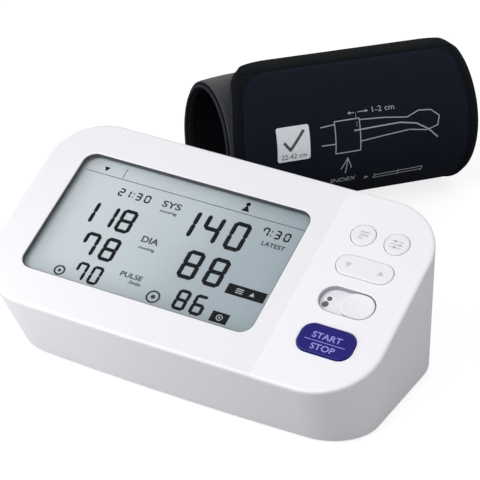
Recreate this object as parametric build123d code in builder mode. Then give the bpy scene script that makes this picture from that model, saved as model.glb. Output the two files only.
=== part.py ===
"""An upper-arm blood pressure monitor and the wrap cuff that goes with it.

The monitor is a wedge of moulded shells: a sloping top cover that carries the display window and the keys, a
middle case whose front wall is undercut, and a base cover with the battery bay. Inside are the display, the
circuit board, the air pump, the exhaust valve and the air path to the jack in the left wall. The cuff is a
padded strip, sprung into a roll by a stiff core, with a free end that peels open.

Each of the two is modelled in a frame of its own, +Z up and standing on z = 0, and both are set out on the
table at the end of the file. Sizes are millimetres.
"""

import os
from math import atan2, cos, degrees, hypot, radians, sin, tan

from build123d import *

# ------------------------------------------------------------------------------------------------------------
# Driving dimensions of the monitor. X runs to its right, Y to its back.
# ------------------------------------------------------------------------------------------------------------

WIDTH = 191.0  # across the top cover
DEPTH = 120.0  # front of the top cover to the back of the base
HEIGHT = 85.0  # table to the back edge of the top cover
FRONT_HEIGHT = 37.0  # table to the front edge of the top cover
PANEL_RUN = 92.0  # depth of the sloping top cover, measured level
BASE_WIDTH = 177.0
BASE_SET_BACK = 19.5  # how far the front wall runs back on its way down
PANEL_FRONT_RADIUS = 29.0
PANEL_BACK_RADIUS = 26.0
BASE_FRONT_RADIUS = 24.0
BASE_BACK_RADIUS = 26.0
PANEL_BOW = 1.0  # rise of the front edge's gentle curve
BASE_BOW = 3.0
FOOT_HEIGHT = 1.2

WALL = 2.4
COVER_THICKNESS = 2.6
COVER_EDGE_ROUND = 1.4
SEAM = 0.3  # shadow line between the top cover and the case
LIP_DEPTH = 3.6  # of the top cover's rim inside the case
LIP_THICKNESS = 1.4
SHELL_CLEARANCE = 0.2  # between one shell and the next
BASE_EDGE_ROUND = 0.8

# Controls, in the sloping cover's own plane: x across, s up the slope from the front edge.
CONTROL_X = 70.4
KEY_CLEARANCE = 0.25  # round each key in its hole
KEY_EDGE_ROUND = 0.6
HOLE_EDGE_ROUND = 0.4
KEY_FLANGE = 1.1  # how far a key's flange reaches under the cover
KEY_FLANGE_THICKNESS = 1.0
KEY_SEAT_GAP = 0.05
KEY_TRAVEL = 0.6
ROUND_KEY_DIAMETER = 11.0
ROUND_KEY_SPACING = 15.8
ROUND_KEY_S = 82.0
ROUND_KEY_PROUD = 0.3
ROCKER_LENGTH = 26.2
ROCKER_WIDTH = 10.6
ROCKER_S = 65.6
ROCKER_PROUD = 0.3
ROCKER_PIVOT_RADIUS = 0.8
ROCKER_PIVOT_REACH = 2.4
SWITCH_LENGTH = 26.0
SWITCH_WIDTH = 13.6
SWITCH_S = 47.4
SWITCH_DEPTH = 3.0
KNOB_LENGTH = 15.2
KNOB_WIDTH = 12.4
KNOB_TRAVEL = 8.0
KNOB_END_GAP = 0.6  # left at the end of the tray
KNOB_DISH = 0.9
START_LENGTH = 25.0
START_WIDTH = 14.4
START_RADIUS = 5.6
START_S = 26.4
START_PROUD = 0.7

# Display window, in the same plane.
WINDOW_LEFT = -78.0
WINDOW_RIGHT = 37.4
WINDOW_FRONT = 18.6
WINDOW_BACK = 86.0
WINDOW_RADIUS = 6.0
LENS_THICKNESS = 1.4
LENS_MARGIN = 2.5
GLASS_THICKNESS = 2.8
GLASS_MARGIN = 1.2
FRAME_MARGIN = 4.2
FRAME_FLOOR = 1.2
BOARD_DEPTH = 13.0  # from the cover's face down to the board's upper side
BOARD_THICKNESS = 1.6
BOARD_EDGE_GAP = 1.0  # between the board and the case
TACT_SIZE = 6.0
TACT_BODY = 3.5
TACT_HEIGHT = 5.0
STANDOFF_RADIUS = 2.6
STANDOFF_GAP = 1.0  # between a standoff and the display's frame

# Base, battery bay and what stands in the case.
PLATE = 2.4
FOOT_RADIUS = 6.0
FOOT_RECESS = 0.6
CASE_SCREW_X = 72.0
CASE_SCREW_FRONT_Y = -24.0
CASE_SCREW_BACK_Y = 42.0
BOSS_RADIUS = 4.0
BOSS_HEIGHT = 16.0
SCREW_RADIUS = 1.5
SCREW_HEAD_RADIUS = 2.8
SCREW_HEAD_HEIGHT = 1.8
SCREW_HEAD_CLEARANCE = 0.3
CELL_RADIUS = 7.15
CELL_LENGTH = 49.5
CELL_NUB_RADIUS = 2.75
CELL_NUB_LENGTH = 1.0
CELL_PITCH = 15.0
CELL_COUNT = 4
CONTACT_ROOM = 3.4  # at each end of the cells
CONTACT_THICKNESS = 0.4
BAY_BACK_Y = 48.0
BAY_WALL = 1.6
BAY_SIDE_ROOM = 1.0  # across all the cells
BAY_ROOF_ROOM = 0.6  # over the cells
DOOR_CLEARANCE = 0.3
DOOR_THICKNESS = 2.0
DOOR_TAB_WIDTH = 8.0
DOOR_TAB_REACH = 2.4
DOOR_TAB_ROOT = 1.8
DOOR_TAB_THICKNESS = 1.4
DOOR_TAB_SPACING = 36.0
TAB_SLOT_ROOM = 0.5  # beside each tab, and past its end
TAB_SLOT_DROP = 0.2  # below the tab
TAB_SLOT_HEIGHT = 3.2  # room for the tab to swing

PUMP_X = 48.5
PUMP_MOTOR_RADIUS = 12.0
PUMP_MOTOR_LENGTH = 30.0
PUMP_HEAD_RADIUS = 13.5
PUMP_HEAD_LENGTH = 18.0
PUMP_FRONT_Y = -26.0

AIR_JACK_Y = 14.0
AIR_JACK_Z = 24.0
PUMP_AXIS_Z = AIR_JACK_Z
AIR_JACK_RADIUS = 6.0
AIR_BORE_RADIUS = 3.75
AIR_BORE_LENGTH = 12.0
AIR_JACK_LENGTH = 17.0
BARB_RADIUS = 1.25
BARB_LENGTH = 6.0
TUBE_RADIUS = 2.5
TUBE_BORE_CLEARANCE = 0.05
MANIFOLD_X = -54.0
MANIFOLD_SIZE = 12.0
VALVE_Y = -14.0
VALVE_RADIUS = 7.0
VALVE_LENGTH = 18.0

DC_JACK_X = -50.0
DC_JACK_UP_WALL = 20.0  # height of its axis up the sloping back wall
DC_JACK_SIZE = 10.0
DC_PIN_SPACING = 5.0
DC_LEG_THICKNESS = 0.6
DC_LEG_WIDTH = 2.4
DC_LEG_LENGTH = 4.0
DC_JACK_LENGTH = 12.0
DC_BORE_RADIUS = 3.0
DC_BORE_DEPTH = 9.0
DC_PIN_RADIUS = 0.7

# ------------------------------------------------------------------------------------------------------------
# Driving dimensions of the cuff. X runs along the roll, -Y is the side that the free end closes over.
# ------------------------------------------------------------------------------------------------------------

CUFF_WIDTH = 137.0  # length of the roll
CUFF_RADIUS = 37.7  # outside of the outer turn
CUFF_THICKNESS = 4.6
CUFF_LAYER_GAP = 0.5
CUFF_STEP = 2.5  # the inner turn stands out this far at the left end, on the near side
CUFF_LEAN = 4.5  # the roll's left end leans back this far from its near side to its far side
FLAP_END_ANGLE = 75.0  # degrees, seen from the left end: 90 is the top, 180 the near side
FLAP_HINGE_ANGLE = 190.0
FLAP_HINGE_GAP = 0.3
FLAP_LEFT_RADIUS = 20.0
FLAP_RIGHT_RADIUS = 17.0
FLAP_TAPER = 14.4  # the free end's left edge draws in by this much
FLAP_TAPER_START = 34.0  # from this far in front of the roll's axis, seen from above
FLAP_BORDER = 6.0
FLAP_END_BORDER = 14.8
FLAP_PANEL_SINK = 0.5
TAIL_ANGLE = 50.0
POCKET_EDGE = 7.0  # the padded pocket stays this far inside the strip's edges
BLADDER_THICKNESS = 1.0
CORE_THICKNESS = 0.8
POCKET_CLEARANCE = 0.15
PATCH_THICKNESS = 0.7
PATCH_EDGE = 14.0
PORT_ANGLE = -18.0
PORT_FROM_RIGHT = 36.5
PORT_FLANGE_RADIUS = 11.0
PORT_FLANGE_THICKNESS = 1.6
PORT_TUBE_RADIUS = 4.0
PORT_TUBE_SINK = 0.6  # of the tube into its flange
PORT_END_ROUND = 1.5
PORT_BORE_RADIUS = 2.1
PORT_LENGTH = 16.0

# Where the two stand on the table, so that the set is centred on the origin.
MONITOR_AT = (2.9, -97.5)
CUFF_AT = (-71.9, 29.3)
CUFF_TURN = 52.0

# ------------------------------------------------------------------------------------------------------------
# Sizes that follow
# ------------------------------------------------------------------------------------------------------------

TILT = atan2(HEIGHT - FRONT_HEIGHT, PANEL_RUN)
PANEL_LENGTH = hypot(HEIGHT - FRONT_HEIGHT, PANEL_RUN)
BASE_FRONT = BASE_SET_BACK - DEPTH / 2
BASE_BACK = DEPTH / 2

panel = Plane(origin=(0, -DEPTH / 2, FRONT_HEIGHT), x_dir=(1, 0, 0), z_dir=(0, -sin(TILT), cos(TILT)))
panel_up = Axis(panel.origin, panel.z_dir)
underside = panel.offset(-COVER_THICKNESS)
board_top = panel.offset(-BOARD_DEPTH)
base_bottom = Plane.XY.offset(FOOT_HEIGHT)
base_top = Plane.XY.offset(FOOT_HEIGHT + PLATE)


def rounded_outline(plane, half_width, front, back, front_radius, back_radius, bow):
    """A face with straight sides and back, a front edge that bows out a little, and rounded corners."""
    with BuildSketch(plane) as outline:
        with BuildLine():
            Polyline(
                (-half_width, front + bow), (-half_width, back), (half_width, back), (half_width, front + bow)
            )
            ThreePointArc((half_width, front + bow), (0, front), (-half_width, front + bow))
        make_face()
        corners = outline.vertices().sort_by(Axis.Y)
        fillet(corners[:2], front_radius)
        corners = outline.vertices().group_by(Axis.Y)[-1]
        fillet(corners, back_radius)
    return outline.sketch


def panel_outline(plane, inset=0.0):
    """The top cover's outline, drawn in by inset, on a plane parallel to the cover."""
    return rounded_outline(
        plane,
        WIDTH / 2 - inset,
        inset,
        PANEL_LENGTH - inset,
        PANEL_FRONT_RADIUS - inset,
        PANEL_BACK_RADIUS - inset,
        PANEL_BOW,
    )


def base_outline(inset=0.0):
    """The outline of the case where it ends, just above the table."""
    return rounded_outline(
        base_bottom,
        BASE_WIDTH / 2 - inset,
        BASE_FRONT + inset,
        BASE_BACK - inset,
        BASE_FRONT_RADIUS - inset,
        BASE_BACK_RADIUS - inset,
        BASE_BOW,
    )


def housing_core(inset=0.0):
    """The wedge between the base and the underside of the top cover, drawn in by inset."""
    with BuildPart() as core:
        loft([base_outline(inset), panel_outline(underside, inset)], ruled=True)
    return core.part


def wall_x(y, z, inset=0.0):
    """Half width of the case at a place on its side wall."""
    top = FRONT_HEIGHT + (y + DEPTH / 2) * (HEIGHT - FRONT_HEIGHT) / PANEL_RUN
    share = (z - FOOT_HEIGHT) / (top - FOOT_HEIGHT)
    return (BASE_WIDTH + share * (WIDTH - BASE_WIDTH)) / 2 - inset


def window_face(plane, margin, radius):
    """The display window's rectangle, grown by margin."""
    with BuildSketch(plane) as window:
        with Locations(((WINDOW_LEFT + WINDOW_RIGHT) / 2, (WINDOW_FRONT + WINDOW_BACK) / 2)):
            RectangleRounded(
                WINDOW_RIGHT - WINDOW_LEFT + 2 * margin,
                WINDOW_BACK - WINDOW_FRONT + 2 * margin,
                radius,
            )
    return window.sketch


round_key_places = [
    (CONTROL_X - ROUND_KEY_SPACING / 2, ROUND_KEY_S),
    (CONTROL_X + ROUND_KEY_SPACING / 2, ROUND_KEY_S),
]
rocker_place = (CONTROL_X, ROCKER_S)
switch_place = (CONTROL_X, SWITCH_S)
start_place = (CONTROL_X, START_S)
knob_place = (CONTROL_X + (SWITCH_LENGTH - KNOB_LENGTH) / 2 - KNOB_END_GAP, SWITCH_S)
standoff_reach = FRAME_MARGIN + STANDOFF_GAP + STANDOFF_RADIUS
standoff_places = [
    (x, s)
    for x in (WINDOW_LEFT + 8.0, WINDOW_RIGHT + 10.0)
    for s in (WINDOW_FRONT - standoff_reach, WINDOW_BACK + standoff_reach)
]
tact_places = [*round_key_places, start_place] + [
    (CONTROL_X + side * ROUND_KEY_SPACING / 2, ROCKER_S) for side in (-1, 1)
]
screw_places = [
    (side * CASE_SCREW_X, y) for side in (-1, 1) for y in (CASE_SCREW_FRONT_Y, CASE_SCREW_BACK_Y)
]

# ------------------------------------------------------------------------------------------------------------
# Top cover: plate, rim, window, key holes, the slide switch's tray, standoffs and the rocker's ears
# ------------------------------------------------------------------------------------------------------------

RIM_INSET = WALL + SHELL_CLEARANCE
TRAY_WALL = 1.2
TRAY_FLOOR = 1.2
SLOT_LENGTH = KNOB_TRAVEL + 4.4
SLOT_WIDTH = 2.6
STEM_LENGTH = 4.0
STEM_WIDTH = 2.0
STEM_OFFSET = 3.0
slot_centre = (knob_place[0] + STEM_OFFSET - KNOB_TRAVEL / 2, SWITCH_S)
ear_reach = ROCKER_WIDTH / 2 + ROCKER_PIVOT_REACH
EAR_THICKNESS = 1.6
EAR_WIDTH = 5.0
PIVOT_DEPTH = COVER_THICKNESS + 1.4
EAR_DEPTH = PIVOT_DEPTH - COVER_THICKNESS + 2.0
PIVOT_CLEARANCE = 0.05
pivot_plane = Plane(
    origin=panel.from_local_coords((CONTROL_X, ROCKER_S, -PIVOT_DEPTH)),
    x_dir=panel.x_dir,
    z_dir=panel.y_dir,
)

with BuildPart() as rim_ring:
    add(housing_core(RIM_INSET))
    add(housing_core(RIM_INSET + LIP_THICKNESS), mode=Mode.SUBTRACT)
    split(bisect_by=underside.offset(-LIP_DEPTH), keep=Keep.TOP)

with BuildPart() as top_cover:
    extrude(panel_outline(panel), amount=-COVER_THICKNESS)
    fillet(top_cover.faces().sort_by(panel_up)[-1].edges(), COVER_EDGE_ROUND)
    add(rim_ring.part)
    # the tray that the slide switch's knob runs in
    with BuildSketch(underside):
        with Locations(switch_place):
            SlotOverall(SWITCH_LENGTH + 2 * TRAY_WALL, SWITCH_WIDTH + 2 * TRAY_WALL)
    extrude(amount=COVER_THICKNESS - SWITCH_DEPTH - TRAY_FLOOR)
    with BuildSketch(panel):
        with Locations(switch_place):
            SlotOverall(SWITCH_LENGTH, SWITCH_WIDTH)
    extrude(amount=-SWITCH_DEPTH, mode=Mode.SUBTRACT)
    with BuildSketch(panel):
        with Locations(slot_centre):
            Rectangle(SLOT_LENGTH, SLOT_WIDTH)
        with Locations(*round_key_places):
            Circle(ROUND_KEY_DIAMETER / 2 + KEY_CLEARANCE)
        with Locations(rocker_place):
            SlotOverall(ROCKER_LENGTH + 2 * KEY_CLEARANCE, ROCKER_WIDTH + 2 * KEY_CLEARANCE)
        with Locations(start_place):
            RectangleRounded(
                START_LENGTH + 2 * KEY_CLEARANCE,
                START_WIDTH + 2 * KEY_CLEARANCE,
                START_RADIUS + KEY_CLEARANCE,
            )
    extrude(amount=-3 * COVER_THICKNESS, mode=Mode.SUBTRACT)
    extrude(window_face(panel, 0, WINDOW_RADIUS), amount=-COVER_THICKNESS, mode=Mode.SUBTRACT)
    fillet(top_cover.faces().sort_by(panel_up)[-1].inner_wires().edges(), HOLE_EDGE_ROUND)
    # standoffs that the circuit board is screwed to
    with BuildSketch(underside):
        with Locations(*standoff_places):
            Circle(STANDOFF_RADIUS)
            Circle(STANDOFF_RADIUS / 3, mode=Mode.SUBTRACT)
    extrude(amount=COVER_THICKNESS - BOARD_DEPTH)
    # two ears that hold the rocker's pivots
    with BuildSketch(underside):
        with Locations(
            (CONTROL_X, ROCKER_S - ear_reach + EAR_THICKNESS / 2),
            (CONTROL_X, ROCKER_S + ear_reach - EAR_THICKNESS / 2),
        ):
            Rectangle(EAR_WIDTH, EAR_THICKNESS)
    extrude(amount=-EAR_DEPTH)
    with BuildSketch(pivot_plane):
        Circle(ROCKER_PIVOT_RADIUS + PIVOT_CLEARANCE)
    extrude(amount=ear_reach + EAR_THICKNESS, both=True, mode=Mode.SUBTRACT)

# ------------------------------------------------------------------------------------------------------------
# Middle case: the wedge's walls, open at both ends, with screw bosses and the holes for the two jacks
# ------------------------------------------------------------------------------------------------------------

back_slope = atan2(PANEL_RUN - DEPTH, HEIGHT - FOOT_HEIGHT)
back_wall = Plane(
    origin=(DC_JACK_X, BASE_BACK, FOOT_HEIGHT), x_dir=(-1, 0, 0), z_dir=(0, cos(back_slope), -sin(back_slope))
)
RIB_THICKNESS = 1.6
PILOT_RADIUS = 1.2

with BuildPart() as case_wall:
    add(housing_core())
    fillet(case_wall.faces().sort_by(Axis.Z)[0].edges(), BASE_EDGE_ROUND)
    add(housing_core(WALL), mode=Mode.SUBTRACT)

with BuildPart() as middle_case:
    with BuildSketch(base_top):
        with Locations(*screw_places):
            Circle(BOSS_RADIUS)
            Rectangle(2 * BASE_BACK_RADIUS, RIB_THICKNESS)
    extrude(amount=BOSS_HEIGHT)
    with BuildSketch(base_top):
        Rectangle(2 * (CASE_SCREW_X - BOSS_RADIUS), DEPTH)
    extrude(amount=BOSS_HEIGHT, mode=Mode.SUBTRACT)
    add(housing_core(WALL / 2), mode=Mode.INTERSECT)
    add(case_wall.part)
    with BuildSketch(base_top):
        with Locations(*screw_places):
            Circle(PILOT_RADIUS)
    extrude(amount=BOSS_HEIGHT - RIB_THICKNESS, mode=Mode.SUBTRACT)
    split(bisect_by=underside.offset(-SEAM), keep=Keep.BOTTOM)
    with BuildSketch(Plane(origin=(-WIDTH / 2, AIR_JACK_Y, AIR_JACK_Z), x_dir=(0, 1, 0), z_dir=(1, 0, 0))):
        Circle(AIR_JACK_RADIUS + SHELL_CLEARANCE)
    extrude(amount=WIDTH / 8, mode=Mode.SUBTRACT)
    with BuildSketch(back_wall):
        with Locations((0, DC_JACK_UP_WALL)):
            Rectangle(DC_JACK_SIZE + 2 * SHELL_CLEARANCE, DC_JACK_SIZE + 2 * SHELL_CLEARANCE)
    extrude(amount=2 * WALL, both=True, mode=Mode.SUBTRACT)

# ------------------------------------------------------------------------------------------------------------
# Base cover: plate, battery bay, feet recesses, and the cradles that carry the pump, the valve and the jack
# ------------------------------------------------------------------------------------------------------------

bay_inner_width = CELL_COUNT * CELL_PITCH + BAY_SIDE_ROOM
bay_inner_length = CELL_LENGTH + CELL_NUB_LENGTH + 2 * CONTACT_ROOM
bay_front_y = BAY_BACK_Y - bay_inner_length
bay_centre_y = BAY_BACK_Y - bay_inner_length / 2
door_top = FOOT_HEIGHT + DOOR_THICKNESS
CELL_LIFT = 0.4  # above the door
DIVIDER_THICKNESS = 1.2
DIVIDER_DEPTH = 2.2
DIVIDER_INSET = 4.0  # from each end of the cells
bay_roof_z = door_top + CELL_LIFT + 2 * CELL_RADIUS + BAY_ROOF_ROOM
FOOT_FROM_SCREW_X = 14.0
FOOT_FROM_SCREW_Y = 4.0
foot_places = [
    (side * (CASE_SCREW_X - FOOT_FROM_SCREW_X), y)
    for side in (-1, 1)
    for y in (CASE_SCREW_FRONT_Y - FOOT_FROM_SCREW_Y, CASE_SCREW_BACK_Y + FOOT_FROM_SCREW_Y)
]
jack_face_x = -wall_x(AIR_JACK_Y, AIR_JACK_Z)
BRACKET = 2.0
BRACKET_INSET = 0.3  # from the plate's edge
BRACKET_RIM = 3.0  # round the jack
POST_INSET = 1.0  # of the manifold's post from its sides
CRADLE_INSET = 6.0  # of the pump's cradles from the motor's ends
CRADLE_RIM = 3.0  # beside the motor
VALVE_REST_RIM = 2.0
VALVE_REST_INSET = 3.0
bracket_x = WALL + SHELL_CLEARANCE + BRACKET_INSET - BASE_WIDTH / 2
manifold_place = (MANIFOLD_X, AIR_JACK_Y, AIR_JACK_Z)
valve_place = (MANIFOLD_X, VALVE_Y, AIR_JACK_Z)
pump_back_y = PUMP_FRONT_Y + PUMP_MOTOR_LENGTH + PUMP_HEAD_LENGTH
CRADLE = 3.0
latch_width = 14.0
latch_reach = 3.0

with BuildPart() as base_cover:
    add(housing_core(WALL + SHELL_CLEARANCE))
    split(bisect_by=base_top, keep=Keep.BOTTOM)
    # battery bay: walls and roof, open to the underside
    with BuildSketch(base_bottom):
        with Locations((0, bay_centre_y)):
            Rectangle(bay_inner_width + 2 * BAY_WALL, bay_inner_length + 2 * BAY_WALL)
    extrude(amount=bay_roof_z + BAY_WALL - FOOT_HEIGHT)
    with BuildSketch(base_bottom):
        with Locations((0, bay_centre_y)):
            Rectangle(bay_inner_width, bay_inner_length)
        with Locations((0, bay_front_y)):
            Rectangle(latch_width, 2 * latch_reach)
    extrude(amount=bay_roof_z - FOOT_HEIGHT, mode=Mode.SUBTRACT)
    with BuildSketch(base_top):
        with Locations((0, bay_front_y - latch_reach)):
            Rectangle(latch_width + 2 * BAY_WALL, 2 * BAY_WALL)
    extrude(amount=bay_roof_z + BAY_WALL - FOOT_HEIGHT - PLATE)
    # slots for the door's two tabs
    with BuildSketch(Plane.XY.offset(door_top - TAB_SLOT_DROP)):
        with GridLocations(DOOR_TAB_SPACING, 1, 2, 1):
            with Locations((0, BAY_BACK_Y + DOOR_TAB_REACH / 2)):
                Rectangle(
                    DOOR_TAB_WIDTH + 2 * TAB_SLOT_ROOM, DOOR_TAB_REACH + 2 * TAB_SLOT_ROOM + TAB_SLOT_DROP
                )
    extrude(amount=TAB_SLOT_HEIGHT, mode=Mode.SUBTRACT)
    # cell dividers under the roof
    with BuildSketch(Plane.XY.offset(bay_roof_z)):
        with Locations((0, bay_centre_y)):
            with GridLocations(CELL_PITCH, 1, CELL_COUNT - 1, 1):
                Rectangle(DIVIDER_THICKNESS, CELL_LENGTH - 2 * DIVIDER_INSET)
    extrude(amount=-DIVIDER_DEPTH)
    # recesses for the feet, screw holes
    with BuildSketch(base_bottom):
        with Locations(*foot_places):
            Circle(FOOT_RADIUS + SHELL_CLEARANCE / 2)
    extrude(amount=FOOT_RECESS, mode=Mode.SUBTRACT)
    with BuildSketch(base_bottom):
        with Locations(*screw_places):
            Circle(SCREW_RADIUS + SHELL_CLEARANCE)
    extrude(amount=PLATE, mode=Mode.SUBTRACT)
    with BuildSketch(base_bottom):
        with Locations(*screw_places):
            Circle(SCREW_HEAD_RADIUS + SCREW_HEAD_CLEARANCE)
    extrude(amount=SCREW_HEAD_HEIGHT, mode=Mode.SUBTRACT)
    # bracket round the air jack
    with BuildSketch(Plane(origin=(bracket_x, AIR_JACK_Y, 0), x_dir=(0, 1, 0), z_dir=(1, 0, 0))):
        with Locations((0, (FOOT_HEIGHT + PLATE + AIR_JACK_Z) / 2)):
            Rectangle(2 * (AIR_JACK_RADIUS + BRACKET_RIM), AIR_JACK_Z - FOOT_HEIGHT - PLATE)
        with Locations((0, AIR_JACK_Z)):
            Circle(AIR_JACK_RADIUS + BRACKET_RIM)
            Circle(AIR_JACK_RADIUS + SHELL_CLEARANCE / 2, mode=Mode.SUBTRACT)
    extrude(amount=BRACKET)
    # post under the manifold, cradles under the valve and the pump
    with BuildSketch(base_top):
        with Locations(manifold_place[:2]):
            Rectangle(MANIFOLD_SIZE - 2 * POST_INSET, MANIFOLD_SIZE - 2 * POST_INSET)
    extrude(amount=AIR_JACK_Z - MANIFOLD_SIZE / 2 - FOOT_HEIGHT - PLATE)
    for y in (PUMP_FRONT_Y + CRADLE_INSET, PUMP_FRONT_Y + PUMP_MOTOR_LENGTH - CRADLE_INSET):
        with BuildSketch(Plane(origin=(PUMP_X, y, 0), x_dir=(1, 0, 0), z_dir=(0, -1, 0))):
            with Locations((0, (PUMP_AXIS_Z + FOOT_HEIGHT + PLATE) / 2)):
                Rectangle(2 * (PUMP_MOTOR_RADIUS + CRADLE_RIM), PUMP_AXIS_Z - FOOT_HEIGHT - PLATE)
            with Locations((0, PUMP_AXIS_Z)):
                Circle(PUMP_MOTOR_RADIUS + CRADLE / 2 + SHELL_CLEARANCE / 2, mode=Mode.SUBTRACT)
        extrude(amount=CRADLE / 2, both=True)
    with BuildSketch(base_top):
        with Locations((valve_place[0], VALVE_Y)):
            Rectangle(2 * (VALVE_RADIUS + VALVE_REST_RIM), VALVE_LENGTH - 2 * VALVE_REST_INSET)
    extrude(amount=AIR_JACK_Z - FOOT_HEIGHT - PLATE)
    with BuildSketch(Plane(origin=valve_place, x_dir=(1, 0, 0), z_dir=(0, -1, 0))):
        Circle(VALVE_RADIUS + SHELL_CLEARANCE / 2)
    extrude(amount=VALVE_LENGTH, both=True, mode=Mode.SUBTRACT)

# ------------------------------------------------------------------------------------------------------------
# What closes the base: battery door, feet and case screws, then the cells and their contacts
# ------------------------------------------------------------------------------------------------------------

GRIP_RIBS = 3
GRIP_RIB_PITCH = 4.0
GRIP_INSET = 1.0  # from the latch's sides
GRIP_DEPTH = 0.6

with BuildPart() as battery_cover:
    with BuildSketch(base_bottom):
        with Locations((0, bay_centre_y)):
            Rectangle(bay_inner_width - 2 * DOOR_CLEARANCE, bay_inner_length - 2 * DOOR_CLEARANCE)
        with Locations((0, bay_front_y + DOOR_CLEARANCE - latch_reach / 2)):
            Rectangle(latch_width - 2 * DOOR_CLEARANCE, latch_reach)
    extrude(amount=DOOR_THICKNESS)
    fillet(battery_cover.edges().filter_by(Axis.Z).group_by(Axis.Y)[-1], 1.0)
    # tabs that hook into the bay's back wall
    with BuildSketch(Plane.XY.offset(door_top)):
        with GridLocations(DOOR_TAB_SPACING, 1, 2, 1):
            with Locations((0, BAY_BACK_Y + (DOOR_TAB_REACH - DOOR_TAB_ROOT) / 2)):
                Rectangle(DOOR_TAB_WIDTH, DOOR_TAB_REACH + DOOR_TAB_ROOT)
    extrude(amount=DOOR_TAB_THICKNESS)
    # thumb grip pressed into the underside at the latch
    with BuildSketch(base_bottom):
        with Locations((0, bay_front_y + GRIP_RIB_PITCH)):
            with GridLocations(1, GRIP_RIB_PITCH / 2, 1, GRIP_RIBS):
                SlotOverall(latch_width - 2 * GRIP_INSET, GRIP_RIB_PITCH / 4)
    extrude(amount=GRIP_DEPTH, mode=Mode.SUBTRACT)

with BuildPart() as rubber_feet:
    with BuildSketch():
        with Locations(*foot_places):
            Circle(FOOT_RADIUS)
    extrude(amount=FOOT_HEIGHT + FOOT_RECESS)
    chamfer(rubber_feet.faces().filter_by(Axis.Z).group_by(Axis.Z)[0].edges(), 0.4)

with BuildPart() as case_screws:
    with BuildSketch(base_bottom):
        with Locations(*screw_places):
            Circle(SCREW_HEAD_RADIUS)
    extrude(amount=SCREW_HEAD_HEIGHT)
    with BuildSketch(Plane.XY.offset(FOOT_HEIGHT + SCREW_HEAD_HEIGHT)):
        with Locations(*screw_places):
            Circle(PILOT_RADIUS)
    extrude(amount=PLATE - SCREW_HEAD_HEIGHT + BOSS_HEIGHT / 2)

cell_xs = [(i - (CELL_COUNT - 1) / 2) * CELL_PITCH for i in range(CELL_COUNT)]
cell_axis_z = door_top + CELL_LIFT + CELL_RADIUS

with BuildPart() as battery_cells:
    for i, x in enumerate(cell_xs):
        way = 1 if i % 2 else -1
        end = Plane(
            origin=(x, bay_centre_y - way * (CELL_LENGTH + CELL_NUB_LENGTH) / 2, cell_axis_z),
            x_dir=(1, 0, 0),
            z_dir=(0, way, 0),
        )
        with BuildSketch(end):
            Circle(CELL_RADIUS)
        extrude(amount=CELL_LENGTH)
        with BuildSketch(end.offset(CELL_LENGTH)):
            Circle(CELL_NUB_RADIUS)
        extrude(amount=CELL_NUB_LENGTH)

LEAF_WIDTH = 9.0
LEAF_HEIGHT = 11.0
LEAF_RIM = 1.0  # where the bent part starts
LEAF_LIP = 1.4

with BuildPart() as battery_contacts:
    for i, x in enumerate(cell_xs):
        for end in (-1, 1):
            wall_y = bay_centre_y + end * bay_inner_length / 2
            cell_y = bay_centre_y + end * (CELL_LENGTH + CELL_NUB_LENGTH) / 2
            low = cell_axis_z - LEAF_HEIGHT / 2
            # a strip bent to a shallow V, its point against the cell
            with BuildSketch(Plane(origin=(x, 0, 0), x_dir=(0, 1, 0), z_dir=(1, 0, 0))):
                with BuildLine():
                    Polyline(
                        (wall_y, low),
                        (wall_y, low + LEAF_HEIGHT),
                        (wall_y - end * CONTACT_THICKNESS, low + LEAF_HEIGHT),
                        (wall_y - end * CONTACT_THICKNESS, low + LEAF_HEIGHT - LEAF_RIM),
                        (cell_y, cell_axis_z),
                        (wall_y - end * CONTACT_THICKNESS, low + LEAF_RIM),
                        (wall_y - end * CONTACT_THICKNESS, low),
                        close=True,
                    )
                make_face()
                with BuildLine():
                    Polyline(
                        (wall_y - end * CONTACT_THICKNESS, low + LEAF_RIM + LEAF_LIP),
                        (cell_y + end * CONTACT_THICKNESS, cell_axis_z),
                        (wall_y - end * CONTACT_THICKNESS, low + LEAF_HEIGHT - LEAF_RIM - LEAF_LIP),
                        close=True,
                    )
                make_face(mode=Mode.SUBTRACT)
            extrude(amount=LEAF_WIDTH / 2, both=True)

# ------------------------------------------------------------------------------------------------------------
# Display: clear window, glass, frame and contact strips, all between the top cover and the circuit board
# ------------------------------------------------------------------------------------------------------------

GLASS_GAP = 0.2  # under the window
GLASS_CORNER = 1.0
FRAME_CORNER = 2.0
FRAME_HOLLOW = 2.0  # how far the frame's hollow keeps inside the window
STRIP_WIDTH = 2.5
STRIP_LENGTH = 80.0
glass_top = COVER_THICKNESS + LENS_THICKNESS + GLASS_GAP
glass_bottom = glass_top + GLASS_THICKNESS
strip_s = WINDOW_FRONT + STRIP_WIDTH

with BuildPart() as display_window:
    extrude(window_face(underside, LENS_MARGIN, WINDOW_RADIUS), amount=-LENS_THICKNESS)

with BuildPart() as display_glass:
    extrude(window_face(panel.offset(-glass_top), GLASS_MARGIN, GLASS_CORNER), amount=-GLASS_THICKNESS)

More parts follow.
